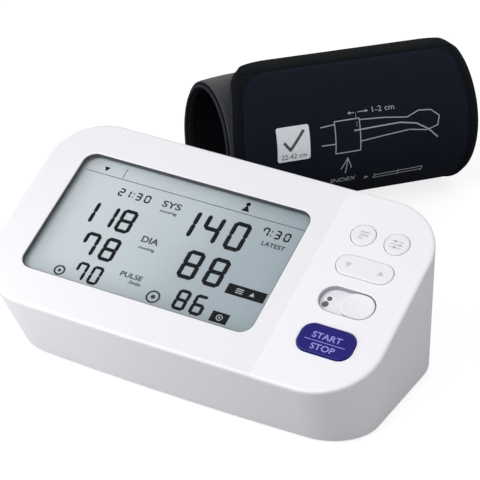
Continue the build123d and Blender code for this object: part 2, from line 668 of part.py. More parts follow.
with BuildPart() as display_frame:
    extrude(window_face(underside, FRAME_MARGIN, FRAME_CORNER), amount=COVER_THICKNESS - BOARD_DEPTH)
    extrude(
        window_face(underside, LENS_MARGIN + SHELL_CLEARANCE, WINDOW_RADIUS),
        amount=-LENS_THICKNESS - GLASS_GAP,
        mode=Mode.SUBTRACT,
    )
    extrude(
        window_face(underside, GLASS_MARGIN + SHELL_CLEARANCE, GLASS_CORNER),
        amount=COVER_THICKNESS - glass_bottom,
        mode=Mode.SUBTRACT,
    )
    # hollow from below, and the slots that the contact strips stand in
    extrude(
        window_face(board_top, -FRAME_HOLLOW, GLASS_CORNER),
        amount=BOARD_DEPTH - glass_bottom - FRAME_FLOOR,
        mode=Mode.SUBTRACT,
    )
    with BuildSketch(board_top):
        with Locations(((WINDOW_LEFT + WINDOW_RIGHT) / 2, strip_s)):
            Rectangle(STRIP_LENGTH + 2 * SHELL_CLEARANCE, STRIP_WIDTH + 2 * SHELL_CLEARANCE)
    extrude(amount=BOARD_DEPTH - glass_bottom, mode=Mode.SUBTRACT)

with BuildPart() as contact_strip:
    with BuildSketch(board_top):
        with Locations(((WINDOW_LEFT + WINDOW_RIGHT) / 2, strip_s)):
            Rectangle(STRIP_LENGTH, STRIP_WIDTH)
    extrude(amount=BOARD_DEPTH - glass_bottom)

# ------------------------------------------------------------------------------------------------------------
# Circuit board and what is soldered to it
# ------------------------------------------------------------------------------------------------------------

BOARD_RIGHT = CONTROL_X + 16.0
BOARD_LEFT = WINDOW_LEFT + 2.0
BOARD_FRONT = 7.0
BOARD_BACK = PANEL_LENGTH - 9.0
SLIDE_BODY_LENGTH = 17.0
SLIDE_BODY_WIDTH = 7.0
SLIDE_BODY_HEIGHT = 3.6
SLIDER_LENGTH = 6.0
SLIDER_WIDTH = 3.0
SLIDER_END_GAP = 0.3
SLIDER_SINK = 2.0  # how deep the slider sits in the switch
SLIDER_PLATE = 1.6
SLIDER_POST_LENGTH = 3.0
SLIDER_POST_WIDTH = 2.0
BOARD_CORNER = 5.0
BOARD_SCREW_BITE = 5.0  # of the screw's thread in the standoff
BOARD_SCREW_HEAD = 1.6
board_bottom = board_top.offset(-BOARD_THICKNESS)

with BuildPart() as main_board:
    with BuildSketch(board_top):
        with Locations(((BOARD_LEFT + BOARD_RIGHT) / 2, (BOARD_FRONT + BOARD_BACK) / 2)):
            RectangleRounded(BOARD_RIGHT - BOARD_LEFT, BOARD_BACK - BOARD_FRONT, BOARD_CORNER)
        with Locations(*standoff_places):
            Circle(STANDOFF_RADIUS / 3 + 0.3, mode=Mode.SUBTRACT)
    extrude(amount=-BOARD_THICKNESS)
    add(housing_core(WALL + BOARD_EDGE_GAP), mode=Mode.INTERSECT)

with BuildPart() as board_screws:
    with BuildSketch(board_bottom):
        with Locations(*standoff_places):
            Circle(STANDOFF_RADIUS)
    extrude(amount=-BOARD_SCREW_HEAD)
    with BuildSketch(board_bottom):
        with Locations(*standoff_places):
            Circle(STANDOFF_RADIUS / 3)
    extrude(amount=BOARD_THICKNESS + BOARD_SCREW_BITE)

with BuildPart() as tact_switches:
    with BuildSketch(board_top):
        with Locations(*tact_places):
            Rectangle(TACT_SIZE, TACT_SIZE)
    extrude(amount=TACT_BODY)
    with BuildSketch(board_top.offset(TACT_BODY)):
        with Locations(*tact_places):
            Circle(TACT_SIZE / 4)
    extrude(amount=TACT_HEIGHT - TACT_BODY)

slider_x = knob_place[0] + STEM_OFFSET
slide_centre_x = slider_x - KNOB_TRAVEL / 2

with BuildPart() as slide_switch:
    with BuildSketch(board_top):
        with Locations((slide_centre_x, SWITCH_S)):
            Rectangle(SLIDE_BODY_LENGTH, SLIDE_BODY_WIDTH)
    extrude(amount=SLIDE_BODY_HEIGHT)
    with BuildSketch(board_top.offset(SLIDE_BODY_HEIGHT)):
        with Locations((slide_centre_x, SWITCH_S)):
            Rectangle(KNOB_TRAVEL + SLIDER_LENGTH + 2 * SLIDER_END_GAP, SLIDER_WIDTH + 2 * SHELL_CLEARANCE)
    extrude(amount=-SLIDER_SINK, mode=Mode.SUBTRACT)

# each chip's place on the board, then its length, width and height
chip_places = [
    ((-30.0, 46.0), (14.0, 14.0, 1.4)),
    ((8.0, 60.0), (9.0, 6.0, 1.6)),
    ((8.0, 30.0), (6.0, 5.0, 1.5)),
    ((-20.0, 74.0), (11.0, 4.6, 3.4)),
]

with BuildPart() as board_chips:
    for place, (length, width, height) in chip_places:
        with BuildSketch(board_bottom):
            with Locations(place):
                Rectangle(length, width)
        extrude(amount=-height)

SENSOR_SIZE = 11.0
SENSOR_HEIGHT = 5.0
SENSOR_BEND_Z = 40.0
sensor_bend = Vector(MANIFOLD_X, AIR_JACK_Y, SENSOR_BEND_Z)
sensor_place = tuple(panel.to_local_coords(sensor_bend))[:2]
SENSOR_PORT = 5.0

with BuildPart() as pressure_sensor:
    with BuildSketch(board_bottom):
        with Locations(sensor_place):
            RectangleRounded(SENSOR_SIZE, SENSOR_SIZE, 1.0)
    extrude(amount=-SENSOR_HEIGHT)
    with BuildSketch(board_bottom.offset(-SENSOR_HEIGHT)):
        with Locations(sensor_place):
            Circle(BARB_RADIUS)
    extrude(amount=-SENSOR_PORT)

# ------------------------------------------------------------------------------------------------------------
# Keys: each has a cap in its hole, a flange under the cover and a stem over its tact switch
# ------------------------------------------------------------------------------------------------------------

STEM_RADIUS = 2.0
flange_top = COVER_THICKNESS + KEY_SEAT_GAP
stem_end = BOARD_DEPTH - TACT_HEIGHT - KEY_TRAVEL - 0.1
flange_plane = panel.offset(-flange_top)


def disc(plane, places, radius):
    """Discs of one radius on a plane parallel to the top cover."""
    with BuildSketch(plane) as discs:
        with Locations(*places):
            Circle(radius)
    return discs.sketch


def pill(plane, place, length, width):
    """A face with two straight sides and two half-round ends."""
    with BuildSketch(plane) as face:
        with Locations(place):
            SlotOverall(length, width)
    return face.sketch


def pad(plane, place, length, width, radius):
    """A rectangle with rounded corners."""
    with BuildSketch(plane) as face:
        with Locations(place):
            RectangleRounded(length, width, radius)
    return face.sketch


ROUND_KEY_RADIUS = ROUND_KEY_DIAMETER / 2
round_key_reach = ROUND_KEY_RADIUS + KEY_FLANGE

with BuildPart() as memory_button:
    extrude(disc(flange_plane, round_key_places[:1], ROUND_KEY_RADIUS), amount=flange_top + ROUND_KEY_PROUD)
    fillet(memory_button.faces().sort_by(panel_up)[-1].edges(), KEY_EDGE_ROUND)
    extrude(disc(flange_plane, round_key_places[:1], round_key_reach), amount=-KEY_FLANGE_THICKNESS)
    extrude(disc(flange_plane, round_key_places[:1], STEM_RADIUS), amount=flange_top - stem_end)

with BuildPart() as settings_button:
    extrude(disc(flange_plane, round_key_places[1:], ROUND_KEY_RADIUS), amount=flange_top + ROUND_KEY_PROUD)
    fillet(settings_button.faces().sort_by(panel_up)[-1].edges(), KEY_EDGE_ROUND)
    extrude(disc(flange_plane, round_key_places[1:], round_key_reach), amount=-KEY_FLANGE_THICKNESS)
    extrude(disc(flange_plane, round_key_places[1:], STEM_RADIUS), amount=flange_top - stem_end)

with BuildPart() as start_stop_button:
    extrude(
        pad(flange_plane, start_place, START_LENGTH, START_WIDTH, START_RADIUS),
        amount=flange_top + START_PROUD,
    )
    fillet(start_stop_button.faces().sort_by(panel_up)[-1].edges(), START_PROUD)
    extrude(
        pad(
            flange_plane,
            start_place,
            START_LENGTH + 2 * KEY_FLANGE,
            START_WIDTH + 2 * KEY_FLANGE,
            START_RADIUS + KEY_FLANGE,
        ),
        amount=-KEY_FLANGE_THICKNESS,
    )
    extrude(disc(flange_plane, [start_place], STEM_RADIUS), amount=flange_top - stem_end)

ROCKER_BODY = 3.4  # depth of the rocker's pad below the cover's face
ROCKER_KEEL_INSET = 3.0  # of the part that carries the pivots, from the pad's ends
ROCKER_KEEL_SIDE = 1.0
ROCKER_KEEL_CORNER = 1.0
rocker_stems = [(CONTROL_X + side * ROUND_KEY_SPACING / 2, ROCKER_S) for side in (-1, 1)]

with BuildPart() as up_down_rocker:
    rocker_base = panel.offset(-ROCKER_BODY)
    extrude(pill(rocker_base, rocker_place, ROCKER_LENGTH, ROCKER_WIDTH), amount=ROCKER_BODY + ROCKER_PROUD)
    fillet(up_down_rocker.faces().sort_by(panel_up)[-1].edges(), KEY_EDGE_ROUND)
    extrude(
        pad(
            rocker_base,
            rocker_place,
            ROCKER_LENGTH - 2 * ROCKER_KEEL_INSET,
            ROCKER_WIDTH - 2 * ROCKER_KEEL_SIDE,
            ROCKER_KEEL_CORNER,
        ),
        amount=ROCKER_BODY - PIVOT_DEPTH - ROCKER_PIVOT_RADIUS,
    )
    with BuildSketch(pivot_plane):
        Circle(ROCKER_PIVOT_RADIUS)
    extrude(amount=ear_reach, both=True)
    extrude(disc(panel.offset(-PIVOT_DEPTH), rocker_stems, STEM_RADIUS), amount=PIVOT_DEPTH - stem_end)

FLOOR_GAP = 0.1
KNOB_SINK = 0.3  # top of the knob below the cover's face
KNOB_CATCH = 1.0
CATCH_REACH = 1.0  # beyond the slot, to each side
STEM_CORNER = 0.4

with BuildPart() as user_switch_knob:
    floor = panel.offset(FLOOR_GAP - SWITCH_DEPTH)
    extrude(pill(floor, knob_place, KNOB_LENGTH, KNOB_WIDTH), amount=SWITCH_DEPTH - FLOOR_GAP - KNOB_SINK)
    fillet(user_switch_knob.faces().sort_by(panel_up)[-1].edges(), KEY_EDGE_ROUND)
    # the dish that a fingertip rests in
    dish_radius = (KNOB_LENGTH * KNOB_LENGTH / 4 + KNOB_DISH * KNOB_DISH) / (2 * KNOB_DISH)
    dish_centre = panel.from_local_coords((*knob_place, dish_radius - KNOB_SINK - KNOB_DISH))
    with Locations(dish_centre):
        Sphere(dish_radius - KNOB_SINK, mode=Mode.SUBTRACT)
    stem_place = (slider_x, SWITCH_S)
    catch = panel.offset(-SWITCH_DEPTH - TRAY_FLOOR - FLOOR_GAP)
    extrude(pad(floor, stem_place, STEM_LENGTH, STEM_WIDTH, STEM_CORNER), amount=-TRAY_FLOOR - 2 * FLOOR_GAP)
    extrude(
        pad(catch, stem_place, STEM_LENGTH + 2 * CATCH_REACH, SLOT_WIDTH + 2 * CATCH_REACH, STEM_CORNER),
        amount=-KNOB_CATCH,
    )

slider_top = BOARD_DEPTH - SLIDE_BODY_HEIGHT + SLIDER_SINK - FLOOR_GAP
slider_base = panel.offset(-slider_top)
slider_reach = slider_top - (SWITCH_DEPTH + TRAY_FLOOR + FLOOR_GAP + KNOB_CATCH)

with BuildPart() as switch_slider:
    extrude(pad(slider_base, stem_place, SLIDER_LENGTH, SLIDER_WIDTH, STEM_CORNER), amount=SLIDER_PLATE)
    extrude(
        pad(slider_base, stem_place, SLIDER_POST_LENGTH, SLIDER_POST_WIDTH, STEM_CORNER), amount=slider_reach
    )

# ------------------------------------------------------------------------------------------------------------
# Air path: pump, valve, manifold, jack and the tubes between them
# ------------------------------------------------------------------------------------------------------------

MOTOR_EDGE_ROUND = 1.5
MOTOR_BEARING_RADIUS = 3.0
MOTOR_TAB_SPACING = 14.0
MOTOR_TAB_WIDTH = 4.0
MOTOR_TAB_THICKNESS = 1.0
MOTOR_TAB_LENGTH = 2.0
SLEEVE_INSET = 2.5  # of the rubber sleeve from the motor's ends
PUMP_HEAD_CORNER = 6.0
PUMP_HEAD_STEP = 1.0
PUMP_HEAD_SQUARE_SHARE = 0.35  # of the head's length
tube_bore = BARB_RADIUS + TUBE_BORE_CLEARANCE
pump_front = Plane(origin=(PUMP_X, PUMP_FRONT_Y, PUMP_AXIS_Z), x_dir=(1, 0, 0), z_dir=(0, 1, 0))
pump_outlet = pump_front.offset(PUMP_MOTOR_LENGTH + PUMP_HEAD_LENGTH)

with BuildPart() as pump_motor:
    with BuildSketch(pump_front):
        Circle(PUMP_MOTOR_RADIUS)
    extrude(amount=PUMP_MOTOR_LENGTH)
    fillet(pump_motor.faces().sort_by(Axis.Y)[0].edges(), MOTOR_EDGE_ROUND)
    with BuildSketch(pump_front):
        Circle(MOTOR_BEARING_RADIUS)
        with GridLocations(MOTOR_TAB_SPACING, 1, 2, 1):
            Rectangle(MOTOR_TAB_THICKNESS, MOTOR_TAB_WIDTH)
    extrude(amount=-MOTOR_TAB_LENGTH)

with BuildPart() as pump_sleeve:
    with BuildSketch(pump_front.offset(SLEEVE_INSET)):
        Circle(PUMP_MOTOR_RADIUS + CRADLE / 2)
        Circle(PUMP_MOTOR_RADIUS, mode=Mode.SUBTRACT)
    extrude(amount=PUMP_MOTOR_LENGTH - 2 * SLEEVE_INSET)

with BuildPart() as pump_head:
    with BuildSketch(pump_front.offset(PUMP_MOTOR_LENGTH)):
        RectangleRounded(2 * PUMP_HEAD_RADIUS, 2 * PUMP_HEAD_RADIUS, PUMP_HEAD_CORNER)
    square_length = PUMP_HEAD_LENGTH * PUMP_HEAD_SQUARE_SHARE
    extrude(amount=square_length)
    with BuildSketch(pump_front.offset(PUMP_MOTOR_LENGTH + square_length)):
        Circle(PUMP_HEAD_RADIUS - PUMP_HEAD_STEP)
    extrude(amount=PUMP_HEAD_LENGTH - square_length)
    with BuildSketch(pump_outlet):
        Circle(BARB_RADIUS)
    extrude(amount=BARB_LENGTH)

valve_front = Plane(
    origin=(valve_place[0], VALVE_Y - VALVE_LENGTH / 2, valve_place[2]), x_dir=(1, 0, 0), z_dir=(0, 1, 0)
)

with BuildPart() as exhaust_valve:
    with BuildSketch(valve_front):
        Circle(VALVE_RADIUS)
    extrude(amount=VALVE_LENGTH)
    chamfer(exhaust_valve.edges().filter_by(GeomType.CIRCLE), 0.8)
    with BuildSketch(valve_front):
        Circle(1.0)
    extrude(amount=-1.5)
    with BuildSketch(valve_front.offset(VALVE_LENGTH)):
        Circle(BARB_RADIUS)
    extrude(amount=BARB_LENGTH)

jack_axis = Plane(origin=(jack_face_x, AIR_JACK_Y, AIR_JACK_Z), x_dir=(0, 1, 0), z_dir=(1, 0, 0))
jack_tail_x = jack_face_x + AIR_JACK_LENGTH

with BuildPart() as air_jack:
    with BuildSketch(jack_axis):
        Circle(AIR_JACK_RADIUS)
    extrude(amount=AIR_JACK_LENGTH)
    with BuildSketch(jack_axis):
        Circle(AIR_BORE_RADIUS)
    extrude(amount=AIR_BORE_LENGTH, mode=Mode.SUBTRACT)
    with BuildSketch(jack_axis.offset(AIR_JACK_LENGTH)):
        Circle(BARB_RADIUS)
    extrude(amount=BARB_LENGTH)
    with BuildSketch(jack_axis.offset(AIR_BORE_LENGTH)):
        Circle(BARB_RADIUS / 2)
    extrude(amount=AIR_JACK_LENGTH, mode=Mode.SUBTRACT)

half_block = MANIFOLD_SIZE / 2
manifold_ports = {
    "jack": (-1, 0, 0),
    "valve": (0, -1, 0),
    "pump": (1, 0, 0),
    "sensor": (0, 0, 1),
}


def port_plane(way):
    """A plane on the manifold's face, looking out along way."""
    centre = Vector(*manifold_place) + Vector(*way) * half_block
    return Plane(origin=centre, z_dir=way)


with BuildPart() as air_manifold:
    with Locations(manifold_place):
        Box(MANIFOLD_SIZE, MANIFOLD_SIZE, MANIFOLD_SIZE)
    fillet(air_manifold.edges(), 1.0)
    for way in manifold_ports.values():
        with BuildSketch(port_plane(way)):
            Circle(BARB_RADIUS)
        extrude(amount=BARB_LENGTH)

block = Vector(*manifold_place)
sensor_end = panel.from_local_coords((*sensor_place, -BOARD_DEPTH - BOARD_THICKNESS - SENSOR_HEIGHT))
U_TURN = 24.0  # depth and width of the loop that brings the long tube round to the pump's outlet

tube_routes = {
    "jack": [Vector(jack_tail_x, AIR_JACK_Y, AIR_JACK_Z), block - Vector(half_block, 0, 0)],
    "valve": [block - Vector(0, half_block, 0), Vector(MANIFOLD_X, VALVE_Y + VALVE_LENGTH / 2, AIR_JACK_Z)],
    "sensor": [block + Vector(0, 0, half_block), sensor_bend, sensor_end],
    "pump": [
        block + Vector(half_block, 0, 0),
        Vector(PUMP_X - 1.6 * U_TURN, AIR_JACK_Y, AIR_JACK_Z),
        Vector(PUMP_X - 1.1 * U_TURN, pump_back_y + U_TURN, AIR_JACK_Z),
        Vector(PUMP_X, pump_back_y + U_TURN, PUMP_AXIS_Z),
        Vector(PUMP_X, pump_back_y, PUMP_AXIS_Z),
    ],
}


def bend_radii(route):
    """The largest even bend at each corner of a route."""
    radii = []
    for before, corner, after in zip(route, route[1:], route[2:]):
        turn = (corner - before).get_angle(after - corner)
        shorter = min((corner - before).length, (after - corner).length)
        radii.append(0.45 * shorter / tan(radians(turn) / 2))
    return radii


def air_tube(route):
    """A soft tube along a route, straight runs joined by bends."""
    with BuildPart() as tube:
        with BuildLine() as path:
            if len(route) > 2:
                FilletPolyline(*route, radius=bend_radii(route))
            else:
                Line(*route)
        with BuildSketch(Plane(origin=path.line @ 0, z_dir=path.line % 0)):
            Circle(TUBE_RADIUS)
            Circle(tube_bore, mode=Mode.SUBTRACT)
        sweep()
    return tube.part


with BuildPart() as air_tubes:
    for name, route in tube_routes.items():
        add(air_tube(route))
        print(name, "tube bends", [round(radius, 1) for radius in bend_radii(route)])

# ------------------------------------------------------------------------------------------------------------
# Power jack in the back wall
# ------------------------------------------------------------------------------------------------------------

dc_face = Plane(
    origin=back_wall.from_local_coords((0, DC_JACK_UP_WALL, 0)), x_dir=(-1, 0, 0), z_dir=back_wall.z_dir
)
DC_FLANGE = 2.0
DC_FLANGE_THICKNESS = 1.2

with BuildPart() as power_jack:
    with BuildSketch(dc_face):
        RectangleRounded(DC_JACK_SIZE, DC_JACK_SIZE, 1.0)
    extrude(amount=-DC_JACK_LENGTH)
    with BuildSketch(dc_face.offset(-WALL - SHELL_CLEARANCE)):
        Rectangle(DC_JACK_SIZE + 2 * DC_FLANGE, DC_JACK_SIZE + 2 * DC_FLANGE)
    extrude(amount=-DC_FLANGE_THICKNESS)
    with BuildSketch(dc_face):
        Circle(DC_BORE_RADIUS)
        Circle(DC_PIN_RADIUS, mode=Mode.SUBTRACT)
    extrude(amount=-DC_BORE_DEPTH, mode=Mode.SUBTRACT)
    with BuildSketch(dc_face.offset(-DC_JACK_LENGTH)):
        with GridLocations(DC_PIN_SPACING, 1, 2, 1):
            Rectangle(DC_LEG_THICKNESS, DC_LEG_WIDTH)
    extrude(amount=-DC_LEG_LENGTH)

# ------------------------------------------------------------------------------------------------------------
# Cuff: a strip rolled into one turn and a half. Half turns of falling radius alternate between two centres,
# and so run into each other smoothly. Angles are seen from the left end: 0 is the far side, 90 the top.
# ------------------------------------------------------------------------------------------------------------

pitch = CUFF_THICKNESS + CUFF_LAYER_GAP
outer_mid = CUFF_RADIUS - CUFF_THICKNESS / 2
half = CUFF_THICKNESS / 2


def turn(number, start, end):
    """Centre height, middle radius and angles of a stretch of the roll's half turn of that number."""
    return CUFF_RADIUS - (number % 2) * pitch / 2, outer_mid - number * pitch / 2, start, end


def on_turn(stretch, angle, rise=0.0):
    """The point at an angle of a half turn, rise outside its middle."""
    height, radius, _, _ = stretch
    reach = radius + rise
    return reach * cos(radians(angle)), height + reach * sin(radians(angle))


def strip(stretches, low, high, left, right):
    """The part of the rolled strip between two depths, low and high, and two places along the roll."""
    with BuildPart() as solid:
        with BuildSketch(Plane.YZ.offset(left)):
            with BuildLine():
                for height, radius, start, end in stretches:
                    CenterArc((0, height), radius + low, start, end - start)
                    CenterArc((0, height), radius + high, start, end - start)
                for stretch, angle in ((stretches[0], stretches[0][2]), (stretches[-1], stretches[-1][3])):
                    Line(on_turn(stretch, angle, low), on_turn(stretch, angle, high))
            make_face()
        extrude(amount=right - left)
    return solid.part


def free_end_cutter(inset=0.0, end_inset=0.0):
    """What shapes the free end, seen from above: its left edge draws in, and both corners are round."""
    end_y = CUFF_RADIUS * cos(radians(FLAP_END_ANGLE) + end_inset / CUFF_RADIUS)
    front_y = -2 * CUFF_RADIUS
    taper_length = FLAP_TAPER_START + CUFF_RADIUS * cos(radians(FLAP_END_ANGLE))
    taper = FLAP_TAPER * (FLAP_TAPER_START + end_y) / taper_length
    with BuildSketch(Plane.XY.offset(CUFF_RADIUS)) as outline:
        with BuildLine():
            Polyline(
                (inset, front_y),
                (inset, -FLAP_TAPER_START),
                (inset + taper, end_y),
                (CUFF_WIDTH - inset, end_y),
                (CUFF_WIDTH - inset, front_y),
                close=True,
            )
        make_face()
        corners = outline.vertices().group_by(Axis.Y)[-1].sort_by(Axis.X)
        fillet(corners[0], FLAP_LEFT_RADIUS - inset)
        corners = outline.vertices().group_by(Axis.Y)[-1].sort_by(Axis.X)
        fillet(corners[-1], FLAP_RIGHT_RADIUS - inset)
    with BuildPart() as cutter:
        with BuildSketch(Plane.XY.offset(CUFF_RADIUS)):
            with Locations((CUFF_WIDTH / 2, 0)):
                Rectangle(CUFF_WIDTH + 2.0, 2 * CUFF_RADIUS)
            add(outline.sketch, mode=Mode.SUBTRACT)
        extrude(amount=CUFF_RADIUS + 5.0)
    return cutter.part


hinge_half_gap = degrees(FLAP_HINGE_GAP / 2 / CUFF_RADIUS)
border_angle = degrees(FLAP_BORDER / CUFF_RADIUS)
flap_turn = turn(0, FLAP_END_ANGLE, FLAP_HINGE_ANGLE - hinge_half_gap)
near_turn = turn(0, FLAP_HINGE_ANGLE + hinge_half_gap, 270)
far_turn = turn(1, 270, 450)
inner_turn = turn(2, 90, 270)
tail_turn = turn(3, 270, 270 + TAIL_ANGLE)
pocket = BLADDER_THICKNESS + CORE_THICKNESS + 3 * POCKET_CLEARANCE
wrap_left = -CUFF_STEP
wrap_right = CUFF_WIDTH - CUFF_STEP
edge_angle = degrees(POCKET_EDGE / outer_mid)
pocket_stretches = [turn(1, 270 + edge_angle, 450), turn(2, 90, 270 - edge_angle)]
loop_stretches = [turn(1, 390, 450), turn(2, 90, 230)]
pocket_left = wrap_left + CUFF_LEAN + POCKET_EDGE
pocket_right = wrap_right - POCKET_EDGE

with BuildPart() as left_trim:
    with BuildSketch():
        with BuildLine():
            Polyline(
                (wrap_left - CUFF_LEAN, -CUFF_RADIUS),
                (wrap_left, -CUFF_RADIUS),
                (wrap_left + CUFF_LEAN, CUFF_RADIUS),
                (wrap_left - CUFF_LEAN, CUFF_RADIUS),
                close=True,
            )
        make_face()
    extrude(amount=2 * CUFF_RADIUS)

with BuildPart() as flap_sink:
    add(
        strip(
            [turn(0, FLAP_END_ANGLE + degrees(FLAP_END_BORDER / CUFF_RADIUS), 262)],
            half - FLAP_PANEL_SINK,
            half + 1.0,
            FLAP_BORDER,
            CUFF_WIDTH - FLAP_BORDER,
        )
    )
    add(free_end_cutter(FLAP_BORDER, FLAP_END_BORDER), mode=Mode.SUBTRACT)

port_surface = on_turn(far_turn, PORT_ANGLE, half)
port_out = (0, cos(radians(PORT_ANGLE)), sin(radians(PORT_ANGLE)))
port_x = wrap_right - PORT_FROM_RIGHT
port_seat = Plane(origin=(port_x, *port_surface), x_dir=(1, 0, 0), z_dir=port_out)
port_hole = PORT_TUBE_RADIUS / 2

with BuildPart() as cuff_wrap:
    add(strip([near_turn], -half, half, 0, CUFF_WIDTH))
    add(strip([far_turn, inner_turn, tail_turn], -half, half, wrap_left, wrap_right))
    add(
        strip(pocket_stretches, -pocket / 2, pocket / 2, pocket_left, pocket_right),
        mode=Mode.SUBTRACT,
    )
    add(flap_sink.part, mode=Mode.SUBTRACT)
    add(strip(loop_stretches, half - PATCH_THICKNESS, half + 0.1, wrap_left, wrap_right), mode=Mode.SUBTRACT)
    add(left_trim.part, mode=Mode.SUBTRACT)
    with BuildSketch(port_seat):
        Circle(port_hole + SHELL_CLEARANCE / 2)
    extrude(amount=-CUFF_THICKNESS / 2, mode=Mode.SUBTRACT)

with BuildPart() as loop_patch:
    add(strip(loop_stretches, half - PATCH_THICKNESS, half, wrap_left, wrap_right))
    add(left_trim.part, mode=Mode.SUBTRACT)

with BuildPart() as cuff_bladder:
    low = -pocket / 2 + POCKET_CLEARANCE
    add(
        strip(
            pocket_stretches,
            low,
            low + BLADDER_THICKNESS,
            pocket_left + POCKET_CLEARANCE,
            pocket_right - POCKET_CLEARANCE,
        )
    )

with BuildPart() as cuff_core:
    high = pocket / 2 - POCKET_CLEARANCE
    add(
        strip(
            pocket_stretches,
            high - CORE_THICKNESS,
            high,
            pocket_left + POCKET_CLEARANCE,
            pocket_right - POCKET_CLEARANCE,
        )
    )
    with BuildSketch(port_seat):
        Circle(port_hole + SHELL_CLEARANCE)
    extrude(amount=-CUFF_THICKNESS, mode=Mode.SUBTRACT)

with BuildPart() as cuff_flap:
    add(strip([flap_turn], -half, half, 0, CUFF_WIDTH))
    add(free_end_cutter(), mode=Mode.SUBTRACT)
    add(flap_sink.part, mode=Mode.SUBTRACT)
    hook_stretch = turn(0, FLAP_END_ANGLE + 2 * border_angle, 160)
    hook_band = strip([hook_stretch], -half, PATCH_THICKNESS - half, PATCH_EDGE, CUFF_WIDTH - PATCH_EDGE)
    add(hook_band, mode=Mode.SUBTRACT)

with BuildPart() as hook_patch:
    add(hook_band)

with BuildPart() as port_flange:
    with BuildSketch(port_seat):
        Circle(PORT_FLANGE_RADIUS)
    extrude(amount=CUFF_THICKNESS, both=True)
    add(
        strip([turn(1, 290, 400)], half, half + PORT_FLANGE_THICKNESS, wrap_left, wrap_right),
        mode=Mode.INTERSECT,
    )

port_outlet = Plane(
    origin=port_seat.from_local_coords(
        (-PORT_TUBE_RADIUS, 0, PORT_FLANGE_THICKNESS + PORT_TUBE_RADIUS - PORT_TUBE_SINK)
    ),
    x_dir=port_out,
    z_dir=(1, 0, 0),
)

with BuildPart() as hose_port:
    with BuildSketch(port_outlet):
        Circle(PORT_TUBE_RADIUS)
    extrude(amount=PORT_LENGTH)
    fillet(hose_port.faces().sort_by(Axis.X)[0].edges(), PORT_END_ROUND)
    add(port_flange.part)
    with BuildSketch(port_seat.offset(-half + pocket / 2 - CORE_THICKNESS - POCKET_CLEARANCE)):
        Circle(port_hole)
    extrude(amount=CUFF_THICKNESS)
    with BuildSketch(port_outlet.offset(PORT_LENGTH)):
        Circle(PORT_BORE_RADIUS)
    extrude(amount=PORT_TUBE_RADIUS - PORT_LENGTH, mode=Mode.SUBTRACT)

# ------------------------------------------------------------------------------------------------------------
# Set out on the table and written
# ------------------------------------------------------------------------------------------------------------

monitor = {
    "top_cover": top_cover,
    "middle_case": middle_case,
    "base_cover": base_cover,
    "battery_cover": battery_cover,
    "rubber_feet": rubber_feet,
    "case_screws": case_screws,
    "battery_cells": battery_cells,
    "battery_contacts": battery_contacts,
    "display_window": display_window,
    "display_glass": display_glass,
    "display_frame": display_frame,
    "contact_strip": contact_strip,
    "main_board": main_board,
    "board_screws": board_screws,
    "board_chips": board_chips,
    "tact_switches": tact_switches,
    "slide_switch": slide_switch,
    "pressure_sensor": pressure_sensor,
    "memory_button": memory_button,
    "settings_button": settings_button,
    "up_down_rocker": up_down_rocker,
    "user_switch_knob": user_switch_knob,
    "switch_slider": switch_slider,
    "start_stop_button": start_stop_button,
    "pump_motor": pump_motor,
    "pump_sleeve": pump_sleeve,
    "pump_head": pump_head,
    "exhaust_valve": exhaust_valve,
    "air_manifold": air_manifold,
    "air_tubes": air_tubes,
    "air_jack": air_jack,
    "power_jack": power_jack,
}
cuff = {
    "cuff_wrap": cuff_wrap,
    "cuff_flap": cuff_flap,
    "cuff_bladder": cuff_bladder,
    "cuff_core": cuff_core,
    "loop_patch": loop_patch,
    "hook_patch": hook_patch,
    "hose_port": hose_port,
}
places = [(monitor, Location((*MONITOR_AT, 0))), (cuff, Location((*CUFF_AT, 0), (0, 0, CUFF_TURN)))]

os.makedirs("parts", exist_ok=True)
for pieces, place in places:
    for name, builder in pieces.items():
        piece = place * builder.part
        piece.label = name
        export_step(piece, f"parts/{name}.step")
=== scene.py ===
# %% [markdown]
# # A desktop blood pressure monitor and its wrap cuff
#
# The monitor is a white moulded wedge with a display and keys on its slope. The cuff is a padded strip that is
# rolled up behind it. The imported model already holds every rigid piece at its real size, so this notebook only
# adds what makes them look real: the finish of each surface, what the display shows, the printed legends, the
# padded fabric of the cuff, the light and the camera.
#
# Sizes are written in millimetres and turned to metres where a mesh is placed.

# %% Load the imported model
from math import atan2, cos, degrees, exp, hypot, pi, radians, sin, sqrt

import bmesh
import bpy
from mathutils import Matrix, Vector
from mathutils.bvhtree import BVHTree


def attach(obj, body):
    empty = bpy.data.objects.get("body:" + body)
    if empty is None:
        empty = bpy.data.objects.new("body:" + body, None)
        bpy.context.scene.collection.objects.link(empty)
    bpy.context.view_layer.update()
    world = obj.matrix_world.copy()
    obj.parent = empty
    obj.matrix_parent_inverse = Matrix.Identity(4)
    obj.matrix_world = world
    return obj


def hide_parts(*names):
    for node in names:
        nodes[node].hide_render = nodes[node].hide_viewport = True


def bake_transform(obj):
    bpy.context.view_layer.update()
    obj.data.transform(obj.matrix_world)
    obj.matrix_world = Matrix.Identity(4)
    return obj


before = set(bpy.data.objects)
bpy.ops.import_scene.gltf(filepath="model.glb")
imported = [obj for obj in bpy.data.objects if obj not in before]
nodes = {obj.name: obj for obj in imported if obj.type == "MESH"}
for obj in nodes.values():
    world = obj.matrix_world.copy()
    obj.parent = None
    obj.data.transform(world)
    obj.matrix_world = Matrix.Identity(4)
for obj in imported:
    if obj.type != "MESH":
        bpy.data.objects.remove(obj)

MM = 0.001
bpy.context.view_layer.update()
print("pieces in the packed model:", len(nodes))

# %% [markdown]
# ## Two working planes
#
# Nearly everything that is added lies either on the monitor's slope or on the rolled cuff. A matrix that turns
# "across the slope, up the slope, out of it" into the model's own frame lets each legend be drawn flat, in
# millimetres, and then be put in place in one step.

